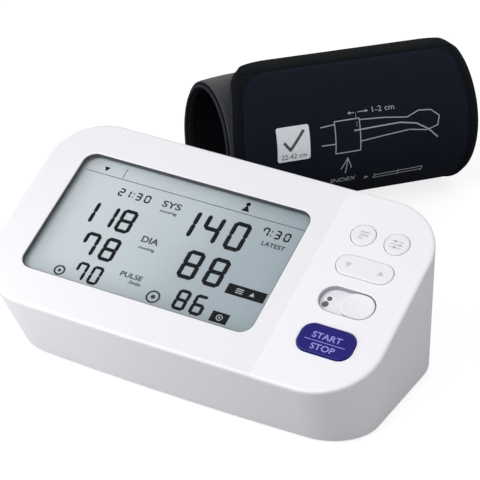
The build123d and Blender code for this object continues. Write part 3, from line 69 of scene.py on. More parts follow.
# %% The monitor's slope
MONITOR_X, MONITOR_Y = 2.9, -97.5
SLOPE_FRONT_Y = -60.0
SLOPE_FRONT_Z = 37.0
SLOPE_RUN = 92.0
SLOPE_RISE = 48.0
slope_angle = atan2(SLOPE_RISE, SLOPE_RUN)

slope = (
    Matrix.Scale(MM, 4)
    @ Matrix.Translation((MONITOR_X, MONITOR_Y + SLOPE_FRONT_Y, SLOPE_FRONT_Z))
    @ Matrix.Rotation(slope_angle, 4, "X")
)
print("the slope rises", round(degrees(slope_angle), 1), "degrees")

# %% The rolled cuff
CUFF_X, CUFF_Y = -71.9, 29.3
CUFF_TURN = 52.0
CUFF_RADIUS = 37.7
CUFF_THICKNESS = 4.6
LAYER_GAP = 0.5
CUFF_WIDTH = 138.6
CUFF_LEFT = -1.1
CUFF_LEAN = 4.5
CUFF_SAG = 3.0
SAG_REACH = 26.0
layer_pitch = CUFF_THICKNESS + LAYER_GAP
half_thickness = CUFF_THICKNESS / 2
outer_middle = CUFF_RADIUS - half_thickness

roll_place = (
    Matrix.Scale(MM, 4)
    @ Matrix.Translation((CUFF_X, CUFF_Y, 0))
    @ Matrix.Rotation(radians(CUFF_TURN), 4, "Z")
)


def on_roll(half_turn, along, angle, rise=0.0):
    """A point of the roll: along it, at an angle seen from its left end, rise mm outside the layer's middle."""
    height = CUFF_RADIUS - (half_turn % 2) * layer_pitch / 2
    radius = outer_middle - half_turn * layer_pitch / 2 + rise
    return Vector((CUFF_LEFT + along, radius * cos(radians(angle)), height + radius * sin(radians(angle))))


# %% [markdown]
# ## Camera
#
# A long lens a little under a metre away keeps the wedge's lines nearly parallel, as in a catalogue picture. The
# camera stands to the right of the monitor and looks down at it.

# %% Place the camera
CAMERA_AROUND = 26.67
CAMERA_UP = 28.21
CAMERA_ROLL = 2.74
CAMERA_AWAY = 912.2
CAMERA_RIGHT = 9.5
CAMERA_RISE = 17.8
CAMERA_LENS = 153.7
AIM_Z = 40.0

around, tip, roll = radians(CAMERA_AROUND), radians(CAMERA_UP), radians(CAMERA_ROLL)
back = Vector((sin(around) * cos(tip), -cos(around) * cos(tip), sin(tip)))
level = Vector((cos(around), sin(around), 0))
upright = back.cross(level)
right = level * cos(roll) + upright * sin(roll)
top = upright * cos(roll) - level * sin(roll)
aim = Vector((MONITOR_X, MONITOR_Y, AIM_Z))

camera = bpy.data.objects.new("camera", bpy.data.cameras.new("camera"))
camera.data.lens = CAMERA_LENS
camera.data.clip_end = 20.0
bpy.context.scene.collection.objects.link(camera)
stand = (aim + back * CAMERA_AWAY + right * CAMERA_RIGHT + top * CAMERA_RISE) * MM
camera.matrix_world = Matrix.Translation(stand) @ Matrix((right, top, back)).transposed().to_4x4()
bpy.context.scene.camera = camera
bpy.context.scene.view_settings.view_transform = "Standard"
print("the camera stands at", [round(value, 3) for value in stand], "m")

# %% [markdown]
# ## Helpers for materials
#
# A material here is a small network of nodes. One function adds a node with its settings and links, and another
# turns a colour written as sRGB hex into the linear numbers that the renderer works with.


# %% Colour and node helpers
def linear(code):
    """An sRGB hex colour as linear red, green, blue and an alpha of 1."""
    values = [int(code[i : i + 2], 16) / 255 for i in (1, 3, 5)]
    return (*[v / 12.92 if v <= 0.04045 else ((v + 0.055) / 1.055) ** 2.4 for v in values], 1.0)


def feed(node, sockets):
    """Gives each named socket of a node a value or another node's output."""
    for socket, value in sockets.items():
        if isinstance(value, bpy.types.NodeSocket):
            node.id_data.links.new(value, node.inputs[socket])
        else:
            node.inputs[socket].default_value = value


def add_node(tree, kind, sockets=None, **settings):
    """Adds a node. Settings are its own properties, and sockets are fed with values or other nodes' outputs."""
    node = tree.nodes.new(kind)
    for name, value in settings.items():
        setattr(node, name, value)
    feed(node, sockets or {})
    return node


def start_material(name, sockets):
    """A new material with one Principled shader, and that shader's sockets set."""
    material = bpy.data.materials.new(name)
    material.use_nodes = True
    shader = material.node_tree.nodes["Principled BSDF"]
    feed(shader, sockets)
    return material, material.node_tree, shader


def per_metre(size_mm):
    """The scale of a noise or wave texture whose features are that large."""
    return 1 / (size_mm * MM)


def mottle(tree, where, light, dark, size_mm):
    """Colour that drifts between two close tones over a distance."""
    cloud = add_node(tree, "ShaderNodeTexNoise", {"Vector": where, "Scale": per_metre(size_mm), "Detail": 3.0})
    tones = {0: cloud.outputs["Fac"], 6: linear(light), 7: linear(dark)}
    return add_node(tree, "ShaderNodeMix", tones, data_type="RGBA").outputs[2]


def grained(name, light, dark, cloud_mm, grain_mm, depth_mm, rough_from, rough_to, sockets):
    """A surface with two close tones and a fine grain, which shows as relief and as a varying roughness."""
    material, tree, shader = start_material(name, sockets)
    where = add_node(tree, "ShaderNodeTexCoord").outputs["Object"]
    grain = add_node(tree, "ShaderNodeTexNoise", {"Vector": where, "Scale": per_metre(grain_mm), "Detail": 4.0})
    height = grain.outputs["Fac"]
    relief = add_node(tree, "ShaderNodeBump", {"Strength": 1.0, "Distance": depth_mm * MM, "Height": height})
    rough = add_node(tree, "ShaderNodeMapRange", {"Value": height, "To Min": rough_from, "To Max": rough_to})
    colour = mottle(tree, where, light, dark, cloud_mm)
    feed(shader, {"Base Color": colour, "Normal": relief.outputs[0], "Roughness": rough.outputs[0]})
    return material


# %% [markdown]
# ## Plastics
#
# The case is injection moulded ABS. Its mould has a fine spark-eroded finish, so the surface is white and satin,
# with a grain too fine to see as more than a softening of the highlight. The keys come from the same plastic with a
# slightly finer grain. The start key is moulded in indigo and is glossier.


# %% Plastics
def moulded_plastic(name, light, dark, roughness, grain_mm=0.7, depth_mm=0.006, gloss=0.5):
    """Satin moulded plastic, with the grain that a spark-eroded mould leaves."""
    rough = {"rough_from": roughness - 0.05, "rough_to": roughness + 0.05}
    sockets = {"IOR": 1.54, "Specular IOR Level": gloss}
    return grained(name, light, dark, cloud_mm=45.0, grain_mm=grain_mm, depth_mm=depth_mm, sockets=sockets, **rough)


case_white = moulded_plastic("abs_white_satin", "#F1F0F6", "#ECEBF1", 0.44)
key_white = moulded_plastic("abs_white_key", "#F4F3F9", "#EFEEF4", 0.38, 0.5, 0.004)
start_indigo = moulded_plastic("abs_indigo_key", "#1B1678", "#151068", 0.3, 0.5, 0.003, 0.2)
socket_grey = moulded_plastic("abs_grey_socket", "#8B8D92", "#7F8186", 0.45)
socket_black = moulded_plastic("abs_black_socket", "#17181A", "#101113", 0.42)
nylon_natural = moulded_plastic("nylon_natural", "#D9D6CC", "#CFCBC0", 0.5)
chip_black = moulded_plastic("epoxy_black_moulded", "#1A1B1D", "#121315", 0.55, 0.3, 0.008)
core_sheet = moulded_plastic("polypropylene_sheet", "#2B2C2F", "#242528", 0.4)

# %% White top cover, a little darker round the display than round the keys
SURROUND_END = 46.8
SURROUND_BLUR = 0.4
SURROUND_TONE = 0.945
cover_white = moulded_plastic("abs_white_cover", "#F8F7FC", "#F4F3F9", 0.44)
cover_tree = cover_white.node_tree
cover_shader = cover_tree.nodes["Principled BSDF"]
cover_plain = cover_shader.inputs["Base Color"].links[0].from_socket
cover_where = add_node(cover_tree, "ShaderNodeTexCoord").outputs["Object"]
cover_across = add_node(cover_tree, "ShaderNodeSeparateXYZ", {0: cover_where}).outputs[0]
edge_start, edge_end = ((MONITOR_X + SURROUND_END + way * SURROUND_BLUR) * MM for way in (-1, 1))
edge = {"Value": cover_across, "From Min": edge_start, "From Max": edge_end, "To Min": SURROUND_TONE, "To Max": 1.0}
shade = add_node(cover_tree, "ShaderNodeMapRange", edge).outputs[0]
shaded = {0: 1.0, 6: cover_plain, 7: shade}
cover_tone = add_node(cover_tree, "ShaderNodeMix", shaded, data_type="RGBA", blend_type="MULTIPLY")
feed(cover_shader, {"Base Color": cover_tone.outputs[2]})
print("the cover's tone changes", SURROUND_END, "mm right of its middle")

# %% [markdown]
# ## Rubber, metal and board
#
# These are mostly out of sight, but a part that is opened or turned over shows them.

# %% Rubber
def soft_rubber(name, light, dark, roughness):
    """Matt elastomer with a little bloom on it."""
    rough = {"rough_from": roughness - 0.08, "rough_to": roughness + 0.05}
    return grained(name, light, dark, cloud_mm=6.0, grain_mm=0.9, depth_mm=0.012, sockets={"IOR": 1.5}, **rough)


foot_rubber = soft_rubber("rubber_grey_matt", "#4B4C50", "#3E3F43", 0.8)
# The next two are painted shade, for bands in the display's opening and in the switch's tray.
opening_shade_dark = soft_rubber("painted_shade_dark", "#45494D", "#3A3E42", 0.7)
tray_shade_grey = soft_rubber("painted_shade_pale", "#A9A9B0", "#9E9EA6", 0.7)
tube_silicone = soft_rubber("silicone_pale", "#C9C8C2", "#BDBCB5", 0.55)
bladder_film = soft_rubber("vinyl_grey_film", "#5A5C62", "#4C4E54", 0.4)


# %% Metal
STREAK_STRETCH = 0.06


def drawn_metal(name, light, dark, roughness, streak_mm):
    """Plated or drawn metal with fine streaks along one way, which are drawn from a stretched noise."""
    material, tree, shader = start_material(name, {"Metallic": 1.0})
    where = add_node(tree, "ShaderNodeTexCoord").outputs["Object"]
    drawn = add_node(tree, "ShaderNodeMapping", {"Vector": where, "Scale": (1.0, STREAK_STRETCH, 1.0)}).outputs[0]
    streaks = add_node(tree, "ShaderNodeTexNoise", {"Vector": drawn, "Scale": per_metre(streak_mm), "Detail": 3.0})
    share = streaks.outputs["Fac"]
    tones = add_node(tree, "ShaderNodeMix", {0: share, 6: linear(light), 7: linear(dark)}, data_type="RGBA")
    spread = {"Value": share, "To Min": roughness - 0.08, "To Max": roughness + 0.1}
    rough = add_node(tree, "ShaderNodeMapRange", spread)
    feed(shader, {"Base Color": tones.outputs[2], "Roughness": rough.outputs[0]})
    return material


screw_steel = drawn_metal("zinc_plated_steel", "#B9BCC0", "#A6A9AE", 0.34, 0.6)
spring_steel = drawn_metal("nickel_plated_strip", "#CFCDC6", "#BDBBB3", 0.24, 0.8)
motor_can = drawn_metal("drawn_steel_can", "#B4B6B8", "#A0A2A5", 0.3, 1.2)


# %% Circuit board and battery film
GLASS_WEAVE = 6.0


def crossed_waves(tree, where, scale):
    """A plain weave: the product of two waves, one across and one along."""
    waves = {
        way: add_node(tree, "ShaderNodeTexWave", {"Vector": where, "Scale": scale}, bands_direction="XY"[way])
        for way in (0, 1)
    }
    heights = {way: wave.outputs["Fac"] for way, wave in waves.items()}
    return add_node(tree, "ShaderNodeMath", heights, operation="MULTIPLY").outputs[0]


def board_resist():
    """Green solder resist over woven glass, whose weave shows faintly and is drawn coarser than it is."""
    material, tree, shader = start_material("solder_resist_green", {"IOR": 1.5, "Roughness": 0.35})
    where = add_node(tree, "ShaderNodeTexCoord").outputs["Object"]
    weave = crossed_waves(tree, where, per_metre(GLASS_WEAVE))
    relief = add_node(tree, "ShaderNodeBump", {"Strength": 0.4, "Distance": 0.02 * MM, "Height": weave})
    feed(shader, {"Base Color": mottle(tree, where, "#1B5A3A", "#124A2E", 9.0), "Normal": relief.outputs[0]})
    return material


board_green = board_resist()
cell_film = moulded_plastic("printed_cell_film", "#3B4652", "#323C47", 0.28, 0.4, 0.002)

# %% [markdown]
# ## The display
#
# A reflective liquid crystal panel is a pale grey green. Its colour here also holds painted light and shade: it
# runs from light at the upper left to a deeper grey at the lower right, as the light falls across the panel. The
# clear window over it is acrylic. It is made thin and nearly colourless, with a share of straight transparency, so
# that light still reaches the panel through it.


# %% Display glass and window
# Where the panel's painted shading starts and ends, in metres, and what it adds to the place on the colour ramp.
SHADE_ACROSS = {"From Min": -0.059, "From Max": 0.038, "To Min": 0.2, "To Max": 1.0}
SHADE_TO_BACK = {"From Min": -0.14, "From Max": -0.087, "To Min": -0.02, "To Max": -0.2}
GLASS_COLOUR_AND_SHADE = ((0.2, "#D4DFE4"), (0.42, "#CBD7DE"), (0.6, "#B8C5CC"), (0.72, "#B1BFC7"))


def liquid_crystal_glass_painted_shade():
    """Pale grey green with painted shading that deepens across the panel, and a very fine speckle."""
    material, tree, shader = start_material("liquid_crystal_glass_painted_shade", {"IOR": 1.5, "Roughness": 0.32})
    where = add_node(tree, "ShaderNodeTexCoord").outputs["Object"]
    parts = add_node(tree, "ShaderNodeSeparateXYZ", {0: where})
    shares = {
        axis: add_node(tree, "ShaderNodeMapRange", {"Value": parts.outputs[axis], **tone}).outputs[0]
        for axis, tone in enumerate((SHADE_ACROSS, SHADE_TO_BACK))
    }
    share = add_node(tree, "ShaderNodeMath", shares, operation="ADD")
    ramp = add_node(tree, "ShaderNodeValToRGB", {0: share.outputs[0]})
    # The ramp's colours are the panel's own grey green, with painted light towards the upper left and painted shade
    # towards the lower right.
    tones = ramp.color_ramp.elements
    tones[0].color = linear("#DCE6EB")
    tones[1].color = linear("#ACBCC4")
    for place, code in GLASS_COLOUR_AND_SHADE:
        tones.new(place).color = linear(code)
    speck = add_node(tree, "ShaderNodeTexNoise", {"Vector": where, "Scale": per_metre(0.8), "Detail": 2.0})
    faint = add_node(tree, "ShaderNodeMapRange", {"Value": speck.outputs["Fac"], "To Min": 0.97, "To Max": 1.03})
    tints = {0: 1.0, 6: ramp.outputs[0], 7: faint.outputs[0]}
    tinted = add_node(tree, "ShaderNodeMix", tints, data_type="RGBA", blend_type="MULTIPLY")
    feed(shader, {"Base Color": tinted.outputs[2]})
    return material


def clear_acrylic():
    """A clear window. Most of it is left out by its alpha, and what remains gives the gloss."""
    material, tree, shader = start_material("acrylic_clear", {"IOR": 1.49, "Roughness": 0.05, "Alpha": 0.05})
    where = add_node(tree, "ShaderNodeTexCoord").outputs["Object"]
    feed(shader, {"Base Color": mottle(tree, where, "#3A4042", "#34393B", 30.0)})
    return material


display_grey = liquid_crystal_glass_painted_shade()
window_clear = clear_acrylic()

# %% [markdown]
# ## Ink and segments
#
# Printed legends are a thin layer of ink. The display's segments are dark but not black, because the liquid crystal
# never blocks all of the light.


# %% Inks
def printed_ink(name, light, dark, roughness=0.6, gloss=0.5):
    """A layer of ink whose tone varies a little, as screen printing leaves it."""
    rough = {"rough_from": roughness - 0.05, "rough_to": roughness + 0.05}
    sockets = {"IOR": 1.5, "Specular IOR Level": gloss}
    return grained(name, light, dark, cloud_mm=1.5, grain_mm=0.5, depth_mm=0.004, sockets=sockets, **rough)


segment_dark = printed_ink("crystal_segment_dark", "#0D1013", "#090B0D", 0.4, 0.1)
segment_faint = printed_ink("crystal_segment_faint", "#414A4F", "#384146", 0.4, 0.1)
segment_clear = printed_ink("crystal_segment_clear", "#C4CDD1", "#BAC4C8", 0.4)
legend_grey = printed_ink("legend_ink_grey", "#CFCFD6", "#C6C6CD")
legend_dark = printed_ink("legend_ink_dark", "#6C6D72", "#606167")
legend_lavender = printed_ink("legend_ink_lavender", "#9D97E0", "#8F89D6")
cuff_ink = printed_ink("cuff_ink_grey", "#A9ABB3", "#8F929B", 0.75)
label_satin = printed_ink("polyester_label_pale", "#E4E6EC", "#DADCE3", 0.7)
label_ink = printed_ink("label_ink_dark", "#4A4D56", "#3E414A", 0.7)

# %% [markdown]
# ## Give the rigid pieces their finish
#
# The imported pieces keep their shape. Only their material slots change.

# %% Dress the rigid pieces
finishes = {
    cover_white: ["top_cover"],
    case_white: ["middle_case", "base_cover", "battery_cover"],
    key_white: ["memory_button", "settings_button", "up_down_rocker", "user_switch_knob"],
    start_indigo: ["start_stop_button"],
    socket_grey: ["air_jack", "pressure_sensor"],
    socket_black: ["power_jack", "hose_port", "slide_switch", "switch_slider", "tact_switches"],
    nylon_natural: ["display_frame", "pump_head", "exhaust_valve", "air_manifold"],
    chip_black: ["board_chips"],
    core_sheet: ["cuff_core"],
    foot_rubber: ["rubber_feet", "contact_strip", "pump_sleeve"],
    tube_silicone: ["air_tubes"],
    bladder_film: ["cuff_bladder"],
    screw_steel: ["case_screws", "board_screws"],
    spring_steel: ["battery_contacts"],
    motor_can: ["pump_motor"],
    board_green: ["main_board"],
    cell_film: ["battery_cells"],
    display_grey: ["display_glass"],
    window_clear: ["display_window"],
}
for finish, names in finishes.items():
    for name in names:
        mesh = nodes[name].data
        mesh.materials.clear()
        mesh.materials.append(finish)
print("rigid pieces dressed:", sum(len(names) for names in finishes.values()))

# %% [markdown]
# ## How thin marks are made
#
# Display segments, printed legends and the prints on the cuff are all thin, flat shapes. Each is drawn flat, in
# millimetres, and given a very small thickness, so that it is a closed body and not a loose face. Then a matrix
# carries it onto its surface. Bars start as a one-face grid, which is stretched and turned, and a vertex bevel
# gives them the pointed ends of a display segment.

# %% Bars, discs and rings
INK_THICKNESS = 0.05


def flat_bar(mesh, start, end, width, pointed=0.0, steps=1):
    """A bar between two points. pointed is the share of its width that its corners are cut by, in so many steps."""
    start, end = Vector(start), Vector(end)
    run = end - start
    corners = bmesh.ops.create_grid(mesh, x_segments=1, y_segments=1, size=0.5)["verts"]
    bmesh.ops.scale(mesh, vec=(run.length, width, 1.0), verts=corners)
    bmesh.ops.rotate(mesh, matrix=Matrix.Rotation(atan2(run.y, run.x), 3, "Z"), verts=corners)
    middle = (start + end) / 2
    bmesh.ops.translate(mesh, vec=(middle.x, middle.y, 0), verts=corners)
    if pointed:
        cut = pointed * width
        bmesh.ops.bevel(mesh, geom=corners, offset=cut, affect="VERTICES", segments=steps, profile=0.5, material=-1)


def flat_rim(mesh, centre, radius, sides, filled=True, turn=None):
    """A circle or polygon of so many sides. turn is the way, in degrees, that its first corner points."""
    rim = bmesh.ops.create_circle(mesh, cap_ends=filled, segments=sides, radius=radius)["verts"]
    if turn is not None:
        turned = radians(turn) - atan2(rim[0].co.y, rim[0].co.x)
        bmesh.ops.rotate(mesh, matrix=Matrix.Rotation(turned, 3, "Z"), verts=rim)
    bmesh.ops.translate(mesh, vec=(*centre, 0), verts=rim)
    return rim


def flat_triangle(mesh, centre, radius, turn=90.0):
    """A triangle that points the way of turn."""
    flat_rim(mesh, centre, radius, 3, turn=turn)


def flat_ring(mesh, centre, radius, width, sides=32):
    """A ring, as an open band of faces."""
    ends = []
    for reach in (radius - width / 2, radius + width / 2):
        rim = flat_rim(mesh, centre, reach, sides, filled=False)
        ends += [edge for edge in mesh.edges if all(corner in rim for corner in edge.verts)]
    bmesh.ops.bridge_loops(mesh, edges=ends)


def lettering(mesh, words, box, weight=0.0):
    """Plain lettering that fills a box of left, bottom, right and top. weight makes its strokes bolder."""
    text = bpy.data.curves.new("words", "FONT")
    text.body = words
    text.offset = weight
    text.resolution_u = 4
    holder = bpy.data.objects.new("holder", text)
    bpy.context.scene.collection.objects.link(holder)
    bpy.context.view_layer.update()
    made = bpy.data.meshes.new_from_object(holder.evaluated_get(bpy.context.evaluated_depsgraph_get()))
    letters = bmesh.new()
    letters.from_mesh(made)
    bpy.data.objects.remove(holder)
    bpy.data.curves.remove(text)
    bmesh.ops.remove_doubles(letters, verts=letters.verts, dist=1e-5)
    places = [[vert.co[axis] for vert in letters.verts] for axis in (0, 1)]
    growth = [(box[axis + 2] - box[axis]) / (max(places[axis]) - min(places[axis])) for axis in (0, 1)]
    bmesh.ops.translate(letters, vec=(-min(places[0]), -min(places[1]), 0), verts=letters.verts)
    bmesh.ops.scale(letters, vec=(*growth, 1), verts=letters.verts)
    bmesh.ops.translate(letters, vec=(*box[:2], 0), verts=letters.verts)
    letters.to_mesh(made)
    letters.free()
    mesh.from_mesh(made)
    bpy.data.meshes.remove(made)


def give_thickness(mesh, thickness=INK_THICKNESS):
    """Turns flat faces into closed bodies that stand on their plane."""
    raised = bmesh.ops.extrude_face_region(mesh, geom=mesh.faces[:], use_keep_orig=True)["geom"]
    above = [part for part in raised if isinstance(part, bmesh.types.BMVert)]
    bmesh.ops.translate(mesh, vec=(0, 0, thickness), verts=above)
    bmesh.ops.recalc_face_normals(mesh, faces=mesh.faces[:])


def make_object(name, mesh, material):
    """Makes an object from a mesh, at the model's origin."""
    data = bpy.data.meshes.new(name)
    mesh.to_mesh(data)
    mesh.free()
    data.materials.append(material)
    made = bpy.data.objects.new(name, data)
    bpy.context.scene.collection.objects.link(made)
    return made


def finish_piece(name, mesh, material, body, place, smooth=False):
    """Puts a mesh in place and lets its object ride on a body of the model."""
    bmesh.ops.transform(mesh, matrix=place, verts=mesh.verts)
    for face in mesh.faces:
        face.smooth = smooth
    piece = make_object(name, mesh, material)
    if body:
        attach(piece, body)
    print(name, "faces:", len(piece.data.polygons))
    return piece


def print_on_slope(name, marks, ink, body, height):
    """Gives flat marks their thickness and sets them at a height over the monitor's slope."""
    give_thickness(marks)
    finish_piece(name, marks, ink, body, slope @ Matrix.Translation((0, 0, height)))


# %% [markdown]
# ## What the display shows
#
# The panel shows two readings side by side: the earlier one, smaller, at the left and the latest, larger, at the
# right. Its digits are the usual seven segments, so one function draws any number from a short table.

# %% Seven-segment digits
SEGMENTS = {
    "0": "abcdef",
    "1": "bc",
    "2": "abged",
    "3": "abgcd",
    "4": "fgbc",
    "6": "afgedc",
    "7": "fabc",
    "8": "abcdefg",
}
GLASS_TOP = -4.2
SEGMENT_GAP = 0.16
SEGMENT_REACH = 0.22
SEGMENT_POINT = 0.46


def digit(mesh, value, left, bottom, width, height, stroke):
    """One digit in a box. The segments run between six corner points, which lie half a stroke inside it."""
    near, far = left + stroke / 2, left + width - stroke / 2
    low, high = bottom + stroke / 2, bottom + height - stroke / 2
    middle = (low + high) / 2
    runs = {
        "a": ((near, high), (far, high)),
        "b": ((far, high), (far, middle)),
        "c": ((far, middle), (far, low)),
        "d": ((near, low), (far, low)),
        "e": ((near, middle), (near, low)),
        "f": ((near, high), (near, middle)),
        "g": ((near, middle), (far, middle)),
    }
    for name in SEGMENTS[value]:
        start, end = (Vector((*point, 0)) for point in runs[name])
        step = (end - start).normalized() * (SEGMENT_GAP - stroke * SEGMENT_REACH)
        flat_bar(mesh, start + step, end - step, stroke, SEGMENT_POINT)


dark_marks = bmesh.new()
for digits, places, bottom, height, width, stroke in (
    ("140", (-21.4, -9.3, 3.6), 58.3, 15.7, 8.8, 2.1),
    ("88", (-9.1, 3.4), 38.0, 15.4, 8.7, 2.1),
    ("86", (-3.4, 5.0), 22.2, 10.8, 6.3, 1.6),
    ("118", (-67.4, -57.3, -47.9), 51.3, 12.8, 7.7, 1.8),
    ("78", (-57.9, -47.6), 34.9, 12.7, 7.5, 1.8),
    ("70", (-53.4, -46.0), 21.7, 9.9, 5.5, 1.4),
    ("2130", (-55.5, -52.3, -46.6, -42.0), 69.8, 4.3, 3.0, 0.75),
    ("730", (17.6, 23.4, 28.0), 70.3, 4.7, 3.0, 0.78),
):
    for value, left in zip(digits, places):
        digit(dark_marks, value, left, bottom, width, height, stroke)
for colon_dot in ((-47.9, 70.8), (-47.9, 72.9), (21.9, 71.4), (21.9, 73.6)):
    flat_rim(dark_marks, colon_dot, 0.36, 12)

# %% Bars and markers of the display
flat_bar(dark_marks, (15.8, 40.0), (34.4, 40.0), 5.4)
flat_bar(dark_marks, (15.6, 24.7), (23.8, 24.7), 5.4)
flat_triangle(dark_marks, (4.9, 81.1), 2.3)
flat_rim(dark_marks, (4.9, 83.9), 1.05, 18)
flat_triangle(dark_marks, (-67.1, 82.0), 1.7, -90.0)
print_on_slope("display_digits", dark_marks, segment_dark, "monitor_case", GLASS_TOP)

# %% Lines and words of the display
faint_marks = bmesh.new()
flat_bar(faint_marks, (-76.4, 78.6), (36.0, 78.6), 0.28)
flat_bar(faint_marks, (-57.5, 79.4), (-57.5, 84.6), 0.28)
for centre, radius in (((-60.3, 24.1), 2.3), ((-13.1, 25.0), 2.9)):
    flat_ring(faint_marks, centre, radius, 0.85)
    flat_rim(faint_marks, centre, radius * 0.36, 16)
for words, box in (
    ("SYS", (-32.8, 70.6, -23.4, 74.1)),
    ("mmHg", (-32.2, 67.2, -23.6, 69.0)),
    ("DIA", (-32.6, 50.0, -24.2, 53.3)),
    ("mmHg", (-32.0, 46.0, -24.0, 47.8)),
    ("PULSE", (-32.9, 30.4, -22.0, 33.0)),
    ("/min", (-27.4, 27.7, -21.4, 29.7)),
    ("LATEST", (19.8, 65.5, 31.2, 67.8)),
):
    lettering(faint_marks, words, box, 0.02)
print_on_slope("display_legends", faint_marks, segment_faint, "monitor_case", GLASS_TOP)

# %% Pale marks on the dark bars
light_marks = bmesh.new()
flat_triangle(light_marks, (28.2, 39.8), 1.35)
for s in (39.0, 40.0, 41.0):
    flat_bar(light_marks, (20.2, s), (23.8, s), 0.42)
flat_ring(light_marks, (19.7, 24.7), 1.35, 0.4, 20)
flat_rim(light_marks, (19.7, 24.7), 0.5, 12)
print_on_slope("display_cutouts", light_marks, segment_clear, "monitor_case", GLASS_TOP + INK_THICKNESS)

# %% [markdown]
# ## Linings of the openings
#
# A thin dark band lines the wall of the display's opening, and a grey one lines the tray that the slide switch's
# knob runs in. Both are painted shade, put where those walls lie in shade. Both are bands a quarter of a millimetre
# thick that follow the opening's outline.

# %% Painted shade round the display and in the tray
WINDOW_BOX = (-78.0, 18.6, 37.4, 86.0)
WINDOW_CORNER = 6.0
COVER_THICKNESS = 2.6
TRAY_BOX = (57.4, 40.6, 83.4, 54.2)
TRAY_DEPTH = 3.0
HOLE_ROUND = 0.4
SHADE_BAND_THICKNESS = 0.25
CORNER_STEPS = 8


def shade_band(name, material, box, corner, depth):
    """A band of painted shade that lines the wall of an opening, from under its rounded edge down to a depth."""
    left, bottom, right_end, top_end = box
    middle, height = (bottom + top_end) / 2, top_end - bottom
    band = bmesh.new()
    flat_bar(band, (left, middle, 0), (right_end, middle, 0), height, corner / height, CORNER_STEPS)
    ring = bmesh.ops.inset_region(
        band, faces=band.faces[:], thickness=SHADE_BAND_THICKNESS, use_even_offset=True, use_boundary=True
    )
    kept = set(ring["faces"])
    bmesh.ops.delete(band, geom=[face for face in band.faces if face not in kept], context="FACES")
    give_thickness(band, depth - HOLE_ROUND)
    finish_piece(name, band, material, "monitor_case", slope @ Matrix.Translation((0, 0, -depth)))


# The display's band is painted shade: a dark grey that stands in for the shade on the opening's walls.
shade_band("display_opening_shade", opening_shade_dark, WINDOW_BOX, WINDOW_CORNER, COVER_THICKNESS)
# The tray's band is painted shade: a grey that stands in for the shade on the tray's walls.
shade_band("switch_tray_shade", tray_shade_grey, TRAY_BOX, (TRAY_BOX[3] - TRAY_BOX[1]) / 2 - 0.01, TRAY_DEPTH)

# %% [markdown]
# ## Legends on the keys
#
# The pad-printed marks on the white keys are a grey so light that they only just show. The mark beside the user
# switch is darker, and the words on the start key are a pale lavender on its indigo.

# %% Print the keys
KEY_PROUD = 0.3
START_PROUD = 0.7

memory_marks = bmesh.new()
for s, length in ((83.4, 4.4), (81.8, 4.4), (80.2, 2.4)):
    flat_bar(memory_marks, (60.6, s), (60.6 + length, s), 0.9, 0.3)
print_on_slope("memory_key_legend", memory_marks, legend_grey, "memory_key", KEY_PROUD)

settings_marks = bmesh.new()
for s, knob_x in ((83.2, 77.2), (81.6, 79.8), (80.0, 77.9)):
    flat_bar(settings_marks, (75.6, s), (81.2, s), 0.5, 0.3)
    flat_rim(settings_marks, (knob_x, s), 0.62, 16)
print_on_slope("settings_key_legend", settings_marks, legend_grey, "settings_key", KEY_PROUD)

rocker_marks = bmesh.new()
flat_triangle(rocker_marks, (62.8, 65.7), 1.7, -90.0)
flat_triangle(rocker_marks, (78.0, 65.1), 1.7)
print_on_slope("rocker_legend", rocker_marks, legend_grey, "rocker", KEY_PROUD)

user_marks = bmesh.new()
flat_rim(user_marks, (61.3, 48.5), 1.15, 20)
flat_bar(user_marks, (60.6, 46.9), (60.6, 43.9), 2.9, 0.3)
print_on_slope("user_switch_legend", user_marks, legend_dark, "monitor_case", -TRAY_DEPTH)

start_marks = bmesh.new()
lettering(start_marks, "START", (63.5, 26.4, 77.0, 29.4), 0.015)
lettering(start_marks, "STOP", (65.0, 20.9, 76.0, 23.9), 0.015)
flat_bar(start_marks, (61.0, 25.1), (79.6, 25.1), 0.32)
print_on_slope("start_key_legend", start_marks, legend_lavender, "start_key", START_PROUD)

# %% [markdown]
# ## The rolled cuff
#
# A wrap cuff is a strip of nylon cloth with a bladder and a springy plastic core sewn inside. The core keeps it
# rolled up: one turn and a half here, with the free end closed over the near side by hook and loop tape. Its edge
# is bound with a thin piped cord, and a line of stitches runs a few millimetres inside it.
#
# The strip is made flat first, because its corners, edge and stitch line are simple there. Its flat coordinates
# also become its UV map, in real metres, so that the weave has its true scale and follows the cloth. Then each
# point is carried onto the roll, and a short cloth simulation lets the outer panel settle between its stitches.

# %% Where a length along the strip lies on the roll
FLAP_END = 75.0
STRIP_END = 680.0
FLAP_CORNERS = (24.0, 17.0)
FLAP_TAPER = 14.4
FLAP_TAPER_START = 34.0
FLAP_LEFT = -1.2
FLAP_LIFT = 1.0
FLAP_LIFT_FROM = 150.0
FLAP_LIFT_TO = 100.0


def half_turn_at(angle):
    """Which half turn of the roll an angle belongs to, with angles that go on rising along the strip."""
    return 0 if angle < 270 else int((angle - 270) // 180) + 1


def half_turns(angle):
    """The half turns of the roll from an angle on: where each starts and stops, and the radius of its middle."""
    while True:
        number = half_turn_at(angle)
        stop = 270.0 + 180.0 * number
        yield angle, stop, outer_middle - number * layer_pitch / 2
        angle = stop


def arc_length(start, end):
    """Length of the strip's middle between two angles."""
    length = 0.0
    for angle, stop, radius in half_turns(start):
        length += radians(min(end, stop) - angle) * radius
        if stop >= end:
            return length


def angle_at(start, length):
    """The angle that lies a length along the strip from a starting angle."""
    for angle, stop, radius in half_turns(start):
        room = radians(stop - angle) * radius
        if length <= room or stop > STRIP_END:
            return angle + degrees(length / radius)
        length -= room


# %% [markdown]
# ### The strip's section
#
# Every point of the strip knows how far it is from the nearest edge. That distance alone gives its height: a round
# bead for the piped edge, a fold where the binding turns in, the full thickness, a groove at the stitches and the
# slightly lower panel inside them.

